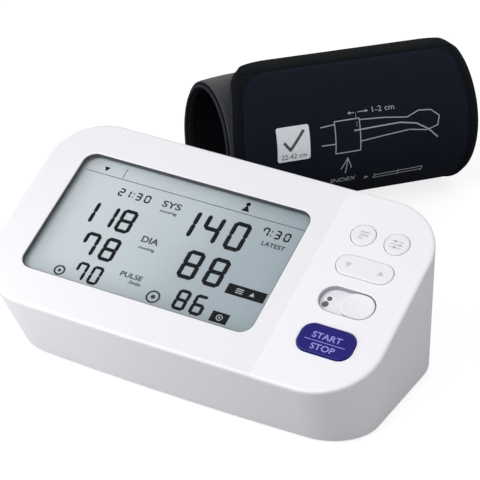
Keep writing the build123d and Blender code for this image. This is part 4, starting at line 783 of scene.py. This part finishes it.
# %% Edge profile
EDGE_LINES = [0.0, 0.3, 0.85, 1.5, 2.2, 3.0, 4.2, 5.3, 6.0, 6.7, 8.2]
END_LINES = [0.0, 0.3, 0.85, 1.5, 2.2, 3.0, 4.2, 6.5, 9.0, 11.5, 14.1, 14.8, 15.5, 17.0]
END_BORDER = 14.8
BEAD_RADIUS = 0.85
STITCH_INSET = 6.0
END_READINGS = [(0.0, 0.0), (4.2, 4.2), (END_BORDER - 0.7, 5.3), (END_BORDER, STITCH_INSET)]


def profile(*heights):
    """A table of distance from the edge and half thickness, from the bead inwards."""
    return list(zip([BEAD_RADIUS, *EDGE_LINES[3:]], [BEAD_RADIUS, *heights]))


OUTER_PROFILE = profile(0.62, 1.6, 2.22, 2.3, 2.2, 1.45, 1.85, 1.95)
INNER_PROFILE = profile(0.62, 1.6, 2.2, 2.3, 2.3, 2.0, 2.25, 2.3)
WRAP_PROFILE = profile(0.62, 1.6, 2.22, 2.3, 2.25, 1.75, 2.15, 2.28)


def read_off(table, place):
    """The value at a place, on straight lines between a table's points."""
    for (from_place, from_value), (to_place, to_value) in zip(table, table[1:]):
        if place <= to_place:
            return from_value + (place - from_place) / (to_place - from_place) * (to_value - from_value)
    return table[-1][1]


def profile_height(table, inset):
    """Half thickness at a distance from the edge."""
    if inset <= BEAD_RADIUS:
        return sqrt(max(BEAD_RADIUS**2 - (BEAD_RADIUS - inset) ** 2, 0.0))
    return read_off(table, inset)


def grid_lines(length, spacing, first_lines=EDGE_LINES):
    """Places of the grid's lines: close together near both edges and even between them."""
    inner = length - first_lines[-1] - EDGE_LINES[-1]
    count = max(2, round(inner / spacing))
    even = [first_lines[-1] + inner * i / count for i in range(1, count)]
    return first_lines + even + [length - place for place in reversed(EDGE_LINES)]


def inset_from_end(along):
    """Distance from the free end as the profile reads it: the border is wider there, and its seam lies farther in."""
    return read_off(END_READINGS, along) if along <= END_BORDER else along - END_BORDER + STITCH_INSET


def round_corner(across, along, width, radii):
    """Moves a point of the flat strip so that the two corners at its start become round."""
    left = across < width / 2
    radius = radii[0 if left else 1]
    from_side = min(across, width - across)
    if from_side >= radius or along >= radius:
        return across, along
    a, b = 1 - from_side / radius, 1 - along / radius
    moved_side = radius * (1 - a * sqrt(1 - b * b / 2))
    return (moved_side if left else width - moved_side), radius * (1 - b * sqrt(1 - a * a / 2))


def inside_seam(across, along, width, radii):
    """How far a point of the flat strip lies inside the line of stitches. It is below zero in the border."""
    from_side, from_end = min(across, width - across) - STITCH_INSET, along - END_BORDER
    radius = radii[0 if across < width / 2 else 1] - STITCH_INSET
    if max(from_side, from_end) < radius:
        return radius - hypot(radius - from_side, radius - from_end)
    return min(from_side, from_end)


def strip_mesh(width, length, spacing, corners, outer_profile, inner_profile, carry):
    """A closed strip with a rounded edge, and for each vertex whether it is on the outer face and how far in."""
    across_lines = grid_lines(width, spacing)
    along_lines = grid_lines(length, spacing, END_LINES if corners else EDGE_LINES)
    columns, rows = len(across_lines) - 1, len(along_lines) - 1
    sheet = bmesh.new()
    flat_map = sheet.loops.layers.uv.new("cloth")
    inset_layer, outer_layer, seam_layer = (
        sheet.verts.layers.float.new(name) for name in ("inset_mm", "outer", "seam_mm")
    )
    bmesh.ops.create_grid(sheet, x_segments=columns, y_segments=rows, size=0.5)
    raised = bmesh.ops.extrude_face_region(sheet, geom=sheet.faces[:], use_keep_orig=True)["geom"]
    above = {part for part in raised if isinstance(part, bmesh.types.BMVert)}
    flat_place = {}
    for vert in sheet.verts:
        across = across_lines[round((vert.co.x + 0.5) * columns)]
        along = along_lines[round((vert.co.y + 0.5) * rows)]
        inset = min(across, width - across, inset_from_end(along) if corners else along, length - along)
        outer = vert in above
        rise = profile_height(outer_profile, inset) if outer else -profile_height(inner_profile, inset)
        across, along = round_corner(across, along, width, corners) if corners else (across, along)
        vert[inset_layer] = inset
        vert[outer_layer] = 1.0 if outer else 0.0
        vert[seam_layer] = inside_seam(across, along, width, corners) if corners else inset - STITCH_INSET
        flat_place[vert] = (across, along)
        vert.co = carry(across, along, rise)
    for face in sheet.faces:
        for loop in face.loops:
            across, along = flat_place[loop.vert]
            loop[flat_map].uv = (across * MM, along * MM)
    bmesh.ops.remove_doubles(sheet, verts=sheet.verts, dist=1e-7)
    bmesh.ops.recalc_face_normals(sheet, faces=sheet.faces[:])
    return sheet


# %% [markdown]
# ### Cloth
#
# The outside is a black plain-woven nylon with a matt face. The weave is drawn from the strip's own flat
# coordinates: two crossed waves with the spacing of the yarns, drawn a little coarser than the real yarn so that it
# shows. The mesh says how far each point is from the edge, whether it is inside the stitches and on which side it
# is, and the material reads that: the piped edge is a lighter grey, which is a painted highlight along the rim, the
# border is a little darker than the panel, and the inside face is blackest, which is painted shade for the dark
# inside of the roll. The loop side of the hook and loop tape is a brushed pile, which has a soft sheen and no
# direction.

# %% Cloth materials
YARN_SPACING = 0.9
PIPING_REACH = 0.95


def wave_scale(spacing_mm):
    """The scale at which a Wave texture repeats at that spacing: it repeats 20 / (2 pi) times a unit at scale 1."""
    return 2 * pi / 20 / (spacing_mm * MM)


def woven_nylon():
    """Black plain weave with a darker border, a lighter piped edge that is a painted highlight, and a blacker inside
    that is painted shade.
    """
    sockets = {"IOR": 1.5, "Roughness": 0.8, "Specular IOR Level": 0.06}
    material, tree, shader = start_material("nylon_woven_black", sockets)
    flat = add_node(tree, "ShaderNodeUVMap", uv_map="cloth").outputs["UV"]
    weave = crossed_waves(tree, flat, wave_scale(YARN_SPACING))
    slub, drift = (
        add_node(tree, "ShaderNodeTexNoise", {"Vector": flat, "Scale": per_metre(size), "Detail": detail})
        for size, detail in ((3.5, 4.0), (38.0, 2.0))
    )
    lit = add_node(tree, "ShaderNodeMapRange", {"Value": slub.outputs["Fac"], "To Min": 0.0, "To Max": 0.16})
    inset, seam, outer = (
        add_node(tree, "ShaderNodeAttribute", attribute_name=layer).outputs["Fac"]
        for layer in ("inset_mm", "seam_mm", "outer")
    )
    piped = add_node(tree, "ShaderNodeMath", {0: inset, 1: PIPING_REACH}, operation="LESS_THAN")
    border = add_node(tree, "ShaderNodeMath", {0: seam, 1: 0.0}, operation="LESS_THAN")
    inside = add_node(tree, "ShaderNodeMath", {0: 1.0, 1: outer}, operation="SUBTRACT")
    colour = linear("#10141D")
    # The inside face's blacker tone is painted shade for the dark inside of the roll, and the piped edge's lighter
    # grey is a painted highlight along its rim.
    for share, code in (
        (drift.outputs["Fac"], "#151A25"),
        (lit.outputs[0], "#20242E"),
        (inside.outputs[0], "#07090C"),
        (border.outputs[0], "#0D1114"),
        (piped.outputs[0], "#2E2E36"),
    ):
        layers = {0: share, 6: colour, 7: linear(code)}
        colour = add_node(tree, "ShaderNodeMix", layers, data_type="RGBA").outputs[2]
    height = add_node(tree, "ShaderNodeMath", {0: weave, 1: slub.outputs["Fac"]}, operation="ADD").outputs[0]
    relief = add_node(tree, "ShaderNodeBump", {"Strength": 0.5, "Distance": 0.09 * MM, "Height": height})
    feed(shader, {"Base Color": colour, "Normal": relief.outputs[0]})
    return material


def brushed_pile(name, light, dark, size_mm, depth_mm, sheen, gloss=0.5):
    """Hook or loop tape, or thread: a mass of fine filaments with a soft sheen."""
    soft = {"Roughness": 0.9, "Sheen Weight": sheen, "Sheen Roughness": 0.6, "Specular IOR Level": gloss}
    material, tree, shader = start_material(name, {"IOR": 1.5, **soft})
    where = add_node(tree, "ShaderNodeTexCoord").outputs["Object"]
    tufts = add_node(tree, "ShaderNodeTexNoise", {"Vector": where, "Scale": per_metre(size_mm), "Detail": 5.0})
    curls = add_node(tree, "ShaderNodeTexVoronoi", {"Vector": where, "Scale": per_metre(size_mm * 0.8)})
    share = tufts.outputs["Fac"]
    height = add_node(tree, "ShaderNodeMath", {0: share, 1: curls.outputs["Distance"]}, operation="ADD").outputs[0]
    relief = add_node(tree, "ShaderNodeBump", {"Strength": 0.8, "Distance": depth_mm * MM, "Height": height})
    tones = add_node(tree, "ShaderNodeMix", {0: share, 6: linear(dark), 7: linear(light)}, data_type="RGBA")
    feed(shader, {"Base Color": tones.outputs[2], "Normal": relief.outputs[0]})
    return material


cuff_nylon = woven_nylon()
loop_pile = brushed_pile("nylon_loop_pile", "#221F2A", "#18161E", 0.9, 0.25, 0.2)
hook_tape = brushed_pile("nylon_hook_tape", "#25262C", "#17181C", 0.7, 0.3, 0.1)
stitch_thread = brushed_pile("polyester_thread_black", "#0F1013", "#0A0B0E", 0.4, 0.08, 0.0, 0.06)

# %% [markdown]
# ### The outer sheet
#
# One piece of cloth runs from under the roll, up the near side and over the top. Its free end lifts off when the
# cuff is opened.

# %% Make the outer sheet
OUTER_END = 270.0
OUTER_GRID = 2.4
outer_length = arc_length(FLAP_END, OUTER_END)


def end_lift(angle):
    """How far the free end stands off the roll at an angle: a soft rise towards its edge."""
    share = min(1.0, max(0.0, (FLAP_LIFT_FROM - angle) / (FLAP_LIFT_FROM - FLAP_LIFT_TO)))
    return FLAP_LIFT * share * share * (3 - 2 * share)


def on_outer(across, along, rise):
    """A point of the outer sheet, on the roll. Its left edge draws in towards the free end, which lifts a little."""
    angle = FLAP_END + degrees(along / outer_middle)
    rise += end_lift(angle)
    from_start = max(0.0, CUFF_RADIUS * cos(radians(min(angle, 180.0))) + FLAP_TAPER_START)
    taper = FLAP_TAPER * from_start / (CUFF_RADIUS * cos(radians(FLAP_END)) + FLAP_TAPER_START)
    return on_roll(0, across + (taper + FLAP_LEFT) * (1 - across / CUFF_WIDTH), angle, rise)


outer_sheet = strip_mesh(CUFF_WIDTH, outer_length, OUTER_GRID, FLAP_CORNERS, OUTER_PROFILE, INNER_PROFILE, on_outer)
outer_fabric = finish_piece("cuff_outer_fabric", outer_sheet, cuff_nylon, None, roll_place, True)
print("outer sheet, mm:", CUFF_WIDTH, "by", round(outer_length, 1))

# %% Make the inner roll
WRAP_LEFT = -2.5
WRAP_GRID = 2.8
wrap_length = arc_length(OUTER_END, STRIP_END)


def lean(point, across):
    """Shifts a point of the inner roll, whose left end is cut a little askew and sags at the top."""
    point.x += CUFF_LEAN * (point.y + CUFF_RADIUS) / (2 * CUFF_RADIUS) * (1 - across / CUFF_WIDTH)
    near_end = max(0.0, 1 - across / SAG_REACH)
    point.z -= CUFF_SAG * near_end**2 * (point.z / (2 * CUFF_RADIUS)) ** 2
    return point


def on_wrap(across, along, rise):
    """A point of the inner roll, which starts under the outer sheet's end and goes on inwards."""
    angle = angle_at(OUTER_END, along)
    return lean(on_roll(half_turn_at(min(angle, STRIP_END - 1e-6)), WRAP_LEFT + across, angle, rise), across)


wrap_sheet = strip_mesh(CUFF_WIDTH, wrap_length, WRAP_GRID, None, WRAP_PROFILE, WRAP_PROFILE, on_wrap)
wrap_fabric = finish_piece("cuff_inner_fabric", wrap_sheet, cuff_nylon, "cuff", roll_place, True)
print("inner roll, mm:", CUFF_WIDTH, "by", round(wrap_length, 1))

# %% [markdown]
# ### Let the cloth settle
#
# The cloth simulation moves only what is free on a real cuff: the outer face inside the stitches. A little
# pressure lifts it as its padding does, and a slightly oversized cloth gives the shallow puckers beside a seam. How
# far any point may go is capped, so the cuff keeps its size and its layers stay apart.

# %% Settle a sheet
SETTLE_FRAMES = 20
SETTLE_INSET = STITCH_INSET + 0.4


def settle(piece, free_side, cap_mm, pressure, slack):
    """Runs a short cloth simulation on the outer or the inner face of a sheet, inside its stitches."""
    mesh = piece.data
    insets = mesh.attributes["inset_mm"].data
    sides = mesh.attributes["outer"].data
    rest = [vert.co.copy() for vert in mesh.vertices]
    free = [i for i in range(len(rest)) if insets[i].value > SETTLE_INSET and (sides[i].value > 0.5) == free_side]
    pins = piece.vertex_groups.new(name="held")
    pins.add(sorted(set(range(len(rest))) - set(free)), 1.0, "REPLACE")
    cloth = piece.modifiers.new("settle", "CLOTH")
    how = cloth.settings
    how.vertex_group_mass = "held"
    how.effector_weights.gravity = 0.0
    how.use_pressure = True
    how.uniform_pressure_force = pressure
    how.shrink_min = -slack
    how.tension_stiffness = how.compression_stiffness = 12.0
    how.bending_stiffness = 0.4
    how.quality = 6
    cloth.collision_settings.use_collision = False
    cloth.collision_settings.use_self_collision = False
    cloth.point_cache.frame_end = SETTLE_FRAMES
    for frame_number in range(1, SETTLE_FRAMES + 1):
        bpy.context.scene.frame_set(frame_number)
    settled = piece.evaluated_get(bpy.context.evaluated_depsgraph_get()).data
    cap = cap_mm * MM
    farthest = 0.0
    for i in free:
        move = settled.vertices[i].co - rest[i]
        far = move.length
        if far > 1e-9:
            kept = cap * (1 - exp(-far / cap))
            mesh.vertices[i].co = rest[i] + move * (kept / far)
            farthest = max(farthest, kept)
    piece.modifiers.remove(cloth)
    piece.vertex_groups.remove(pins)
    bpy.context.scene.frame_set(1)
    print(piece.name, "settled by up to", round(farthest / MM, 2), "mm")


def subdivide_once(piece):
    """One level of subdivision, applied."""
    smooth = piece.modifiers.new("smooth", "SUBSURF")
    smooth.levels = smooth.render_levels = 1
    bpy.context.view_layer.update()
    graph = bpy.context.evaluated_depsgraph_get()
    smoothed = piece.evaluated_get(graph)
    finer = bpy.data.meshes.new_from_object(smoothed, preserve_all_data_layers=True, depsgraph=graph)
    piece.modifiers.remove(smooth)
    coarse, name = piece.data, piece.data.name
    piece.data = finer
    bpy.data.meshes.remove(coarse)
    finer.name = name


settle(outer_fabric, True, cap_mm=1.2, pressure=2.5, slack=0.012)
settle(wrap_fabric, False, cap_mm=0.8, pressure=1.5, slack=0.01)
subdivide_once(outer_fabric)
subdivide_once(wrap_fabric)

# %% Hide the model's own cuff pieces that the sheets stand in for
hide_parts("cuff_flap")
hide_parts("cuff_wrap")

# %% [markdown]
# ### Prints and stitches on the free end
#
# Everything printed on the free end is drawn flat, in millimetres: x runs along the roll and y is minus the length
# from the free end's edge. It is cut into small squares, so that it can bend, and each corner is then dropped
# straight onto the settled cloth, along a line to the roll's axis.

# %% Lay flat artwork on the cloth
PRINT_CUT = 2.5
PRINT_PROUD = 0.07
PRINT_SUNK = 0.25
DROP_FROM = 10.0
cloth_surface = BVHTree.FromPolygons(
    [vert.co for vert in outer_fabric.data.vertices], [face.vertices[:] for face in outer_fabric.data.polygons]
)
back_to_roll = roll_place.inverted()


def cut_small(mesh):
    """Cuts flat artwork along and across, so that it can follow a curved face."""
    for axis in (0, 1):
        normal = Vector((axis == 0, axis == 1, 0))
        reach = [vert.co[axis] for vert in mesh.verts]
        place = min(reach) + PRINT_CUT
        while place < max(reach):
            parts = mesh.verts[:] + mesh.edges[:] + mesh.faces[:]
            bmesh.ops.bisect_plane(mesh, geom=parts, dist=1e-5, plane_co=normal * place, plane_no=normal)
            place += PRINT_CUT


def lay_on_cloth(name, mesh, material, proud=PRINT_PROUD):
    """Turns flat artwork into a thin body on the free end, which bends with it."""
    cut_small(mesh)
    give_thickness(mesh, 1.0)
    for vert in mesh.verts:
        angle = radians(FLAP_END) - vert.co.y / CUFF_RADIUS
        outward = Vector((0, cos(angle), sin(angle)))
        away = Vector((vert.co.x, 0, CUFF_RADIUS)) + outward * (CUFF_RADIUS + DROP_FROM)
        inward = (roll_place.to_3x3() @ -outward).normalized()
        hit = cloth_surface.ray_cast(roll_place @ away, inward)[0]
        vert.co = back_to_roll @ hit + outward * (proud if vert.co.z > 0.5 else -PRINT_SUNK)
    piece = finish_piece(name, mesh, material, None, roll_place)
    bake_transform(piece)
    return piece


def flat_path(mesh, points, width):
    """A line of even width through points given as x and the length from the free end."""
    points = [(x, -length) for x, length in points]
    for start, end in zip(points, points[1:]):
        flat_bar(mesh, (*start, 0), (*end, 0), width)
    for point in points[1:-1]:
        flat_rim(mesh, point, width / 2, 10)


# %% Line diagram of how the cuff is worn
LINE, TUBE_LINE, DASH_LINE, ARROW_LINE = 0.55, 0.7, 0.35, 0.4
diagram = bmesh.new()
for points in (
    ((54, 50.6), (68, 50.6), (68, 67.4), (54, 67.4), (54, 50.6)),
    ((46, 52.6), (54, 52.0)),
    ((68, 51.4), (82, 52.2), (95, 53.8), (102, 51.2), (109, 51.8), (113.6, 55.4)),
    ((113.6, 55.4), (112.4, 60.2), (106.4, 62.0), (96, 60.4), (82, 61.4), (68, 62.6)),
    ((46, 62.0), (54, 62.2)),
    ((58, 77.2), (61, 70.8), (64, 77.2)),
    ((61, 71.0), (61, 80.4)),
):
    flat_path(diagram, points, LINE)
flat_path(diagram, ((64.6, 56.6), (78, 56.2), (91, 56.0), (100, 57.6), (107, 61.6), (112.6, 66.8)), TUBE_LINE)
for length in (47.6, 49.0, 52.4, 53.8):
    flat_path(diagram, ((66.4, length), (66.4, length + 0.8)), DASH_LINE)
for start, end in ((63.4, 65.6), (67.6, 72.2)):
    flat_path(diagram, ((start, 47.4), (end, 47.4)), ARROW_LINE)
flat_triangle(diagram, (63.0, -47.4), 1.0, 180.0)
flat_triangle(diagram, (72.6, -47.4), 1.0, 0.0)
lettering(diagram, "1-2 cm", (76.0, -48.7, 88.6, -45.8))
lay_on_cloth("cuff_diagram_print", diagram, cuff_ink)

# %% Index line and its range bar
index_marks = bmesh.new()
flat_path(index_marks, ((79, 85.6), (106.6, 84.6)), 0.5)
flat_path(index_marks, ((79, 87.8), (106.6, 86.8)), 0.5)
for x in (79.0, 92.8, 106.6):
    flat_path(index_marks, ((x, 84.4), (x, 88.2)), 0.4)
lettering(index_marks, "INDEX", (54.0, -86.6, 68.0, -83.6))
flat_triangle(index_marks, (74.2, -86.2), 1.5, 0.0)
lay_on_cloth("cuff_index_print", index_marks, cuff_ink)

# %% Line of stitches inside the edge
STITCH_PITCH = 3.2
STITCH_LENGTH = 2.2
STITCH_WIDTH = 0.5
side_run = outer_length - END_BORDER - STITCH_INSET
end_run = CUFF_WIDTH - 2 * STITCH_INSET
seam_radii = [radius - STITCH_INSET for radius in FLAP_CORNERS]


def stitch_point(place):
    """A point of the stitch line, which goes up the left edge, along the free end and down the right edge."""
    if place < side_run:
        across, along = 0.0, side_run - place
    elif place < side_run + end_run:
        across, along = place - side_run, 0.0
    else:
        across, along = end_run, place - side_run - end_run
    across, along = round_corner(across, along, end_run, seam_radii)
    across, along = across + STITCH_INSET, along + END_BORDER
    return Vector((on_outer(across, along, 0.0).x, -along * CUFF_RADIUS / outer_middle, 0.0))


stitches = bmesh.new()
for count in range(int((2 * side_run + end_run) / STITCH_PITCH)):
    place = count * STITCH_PITCH
    flat_bar(stitches, stitch_point(place), stitch_point(place + STITCH_LENGTH), STITCH_WIDTH, 0.3)
lay_on_cloth("cuff_stitches", stitches, stitch_thread, 0.2)

# %% Sewn label with a tick and the arm sizes
LABEL_BOX = (21.6, -67.4, 39.6, -49.6)
LABEL_THICKNESS = 0.3
LABEL_CORNER = 1.2
sewn_label = bmesh.new()
label_middle, label_height = (LABEL_BOX[1] + LABEL_BOX[3]) / 2, LABEL_BOX[3] - LABEL_BOX[1]
label_ends = [(LABEL_BOX[end], label_middle, 0) for end in (0, 2)]
flat_bar(sewn_label, *label_ends, label_height, LABEL_CORNER / label_height, 4)
lay_on_cloth("cuff_size_label", sewn_label, label_satin, LABEL_THICKNESS)
label_marks = bmesh.new()
flat_path(label_marks, ((25.2, 57.4), (28.6, 61.6), (36.6, 52.2)), 1.5)
lettering(label_marks, "22-42 cm", (23.6, -66.2, 37.6, -63.6))
lay_on_cloth("cuff_size_print", label_marks, label_ink, LABEL_THICKNESS + PRINT_PROUD)

# %% [markdown]
# ### Hook and loop
#
# The loop side covers the part of the roll that the free end closes onto, right out to the piped edge, and shows
# where the inner turn stands out at the left. The hook side is sewn inside the free end and only shows once the
# cuff is opened.

# %% Loop and hook tape
LOOP_FROM, LOOP_TO = 390.0, 590.0
LOOP_PROUD = 0.14
LOOP_INSET = 1.6
HOOK_FROM, HOOK_TO = 93.0, 160.0
HOOK_INSET = 14.0
TAPE_THICKNESS = 0.6
TAPE_ROWS, TAPE_COLUMNS = 2.5, 2.0


def tape(name, material, slot, body, inset, start, end, carry):
    """A thin tape on a face of the roll, between two angles and that far from both of the strip's sides."""
    width, length = CUFF_WIDTH - 2 * inset, arc_length(start, end)
    sheet = bmesh.new()
    rows, columns = round(length / TAPE_ROWS), round(width / TAPE_COLUMNS)
    bmesh.ops.create_grid(sheet, x_segments=columns, y_segments=rows, size=0.5)
    give_thickness(sheet, 1.0)
    for vert in sheet.verts:
        vert.co = carry((vert.co.x + 0.5) * width, angle_at(start, (vert.co.y + 0.5) * length), vert.co.z)
    return finish_piece(name, sheet, material, body, roll_place, True)


def on_loop_face(across, angle, level):
    """Loop tape: level 1 is its pile, which stands just above the cloth."""
    rise = half_thickness - TAPE_THICKNESS + level * (TAPE_THICKNESS + LOOP_PROUD)
    across += LOOP_INSET
    return lean(on_roll(half_turn_at(angle), WRAP_LEFT + across, angle, rise), across)


def on_hook_face(across, angle, level):
    """Hook tape: level 1 is its hooks, on the inner face of the free end."""
    rise = -half_thickness + TAPE_THICKNESS - level * (TAPE_THICKNESS + LOOP_PROUD)
    return on_roll(0, HOOK_INSET + across, angle, rise + end_lift(angle))


loop_piece = tape("cuff_loop_tape", loop_pile, "loop_fabric", "cuff", LOOP_INSET, LOOP_FROM, LOOP_TO, on_loop_face)
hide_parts("loop_patch")
hook_place = ("hook_fabric", "cuff_free_end", HOOK_INSET, HOOK_FROM, HOOK_TO)
hook_piece = tape("cuff_hook_tape", hook_tape, *hook_place, on_hook_face)
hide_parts("hook_patch")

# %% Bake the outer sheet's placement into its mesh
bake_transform(outer_fabric)

# %% [markdown]
# ## Floor, background and light
#
# The floor is white and so is the background, but neither lights the object more than a plain studio would. What
# the camera sees beyond the floor is the world at full white, and the light that the world gives is much less. In
# the same way the floor's own glow reaches the camera, and what it throws back onto the object is a duller white.

# %% Floor and world
FLOOR_SIZE = 6.0
FLOOR_SEEN = 0.36
FLOOR_GLOW = 0.8
FLOOR_BOUNCE = 0.4
grey = {"Base Color": (FLOOR_SEEN, FLOOR_SEEN, FLOOR_SEEN, 1.0), "Roughness": 0.9, "Specular IOR Level": 0.0}
paper, paper_tree, paper_shader = start_material("floor_paper", grey)
to_camera = add_node(paper_tree, "ShaderNodeLightPath").outputs["Is Camera Ray"]
glow = add_node(paper_tree, "ShaderNodeEmission", {"Color": (1.0, 1.0, 1.0, 1.0), "Strength": FLOOR_GLOW})
lit = add_node(paper_tree, "ShaderNodeAddShader", {0: paper_shader.outputs[0], 1: glow.outputs[0]})
bounce = {"Color": (FLOOR_BOUNCE, FLOOR_BOUNCE, FLOOR_BOUNCE, 1.0)}
dull = add_node(paper_tree, "ShaderNodeBsdfDiffuse", bounce)
direct = add_node(paper_tree, "ShaderNodeMixShader", {0: to_camera, 1: dull.outputs[0], 2: lit.outputs[0]})
feed(paper_tree.nodes["Material Output"], {"Surface": direct.outputs[0]})

floor_mesh = bmesh.new()
bmesh.ops.create_grid(floor_mesh, x_segments=1, y_segments=1, size=FLOOR_SIZE / 2)
make_object("floor", floor_mesh, paper)

WORLD_LIGHT = 0.52
world = bpy.data.worlds.new("studio")
bpy.context.scene.world = world
world.use_nodes = True
sky = world.node_tree
rays = add_node(sky, "ShaderNodeLightPath").outputs
seen = rays["Is Camera Ray"]
for ray in ("Is Glossy Ray", "Is Transmission Ray"):
    seen = add_node(sky, "ShaderNodeMath", {0: seen, 1: rays[ray]}, operation="MAXIMUM").outputs[0]
strength = add_node(sky, "ShaderNodeMapRange", {"Value": seen, "To Min": WORLD_LIGHT, "To Max": 1.0})
feed(sky.nodes["Background"], {"Color": (1.0, 1.0, 1.0, 1.0), "Strength": strength.outputs[0]})
print("floor", FLOOR_SIZE, "m wide, world light", WORLD_LIGHT)

# %% Lamps


def soft_box(name, place, size, power):
    """A square area lamp that faces the object."""
    lamp = bpy.data.objects.new(name, bpy.data.lights.new(name, "AREA"))
    lamp.data.size = size
    lamp.data.energy = power
    lamp.location = place
    lamp.rotation_mode = "QUATERNION"
    lamp.rotation_quaternion = (aim * MM - lamp.location).to_track_quat("-Z", "Y")
    bpy.context.scene.collection.objects.link(lamp)


soft_box("key_light", Vector((-0.35, -1.22, 1.0)), 0.9, 10.3)
soft_box("right_light", Vector((0.55, -0.2, 0.16)), 0.25, 0.36)
soft_box("left_light", Vector((-0.22, -0.33, 0.035)), 0.06, 0.3)
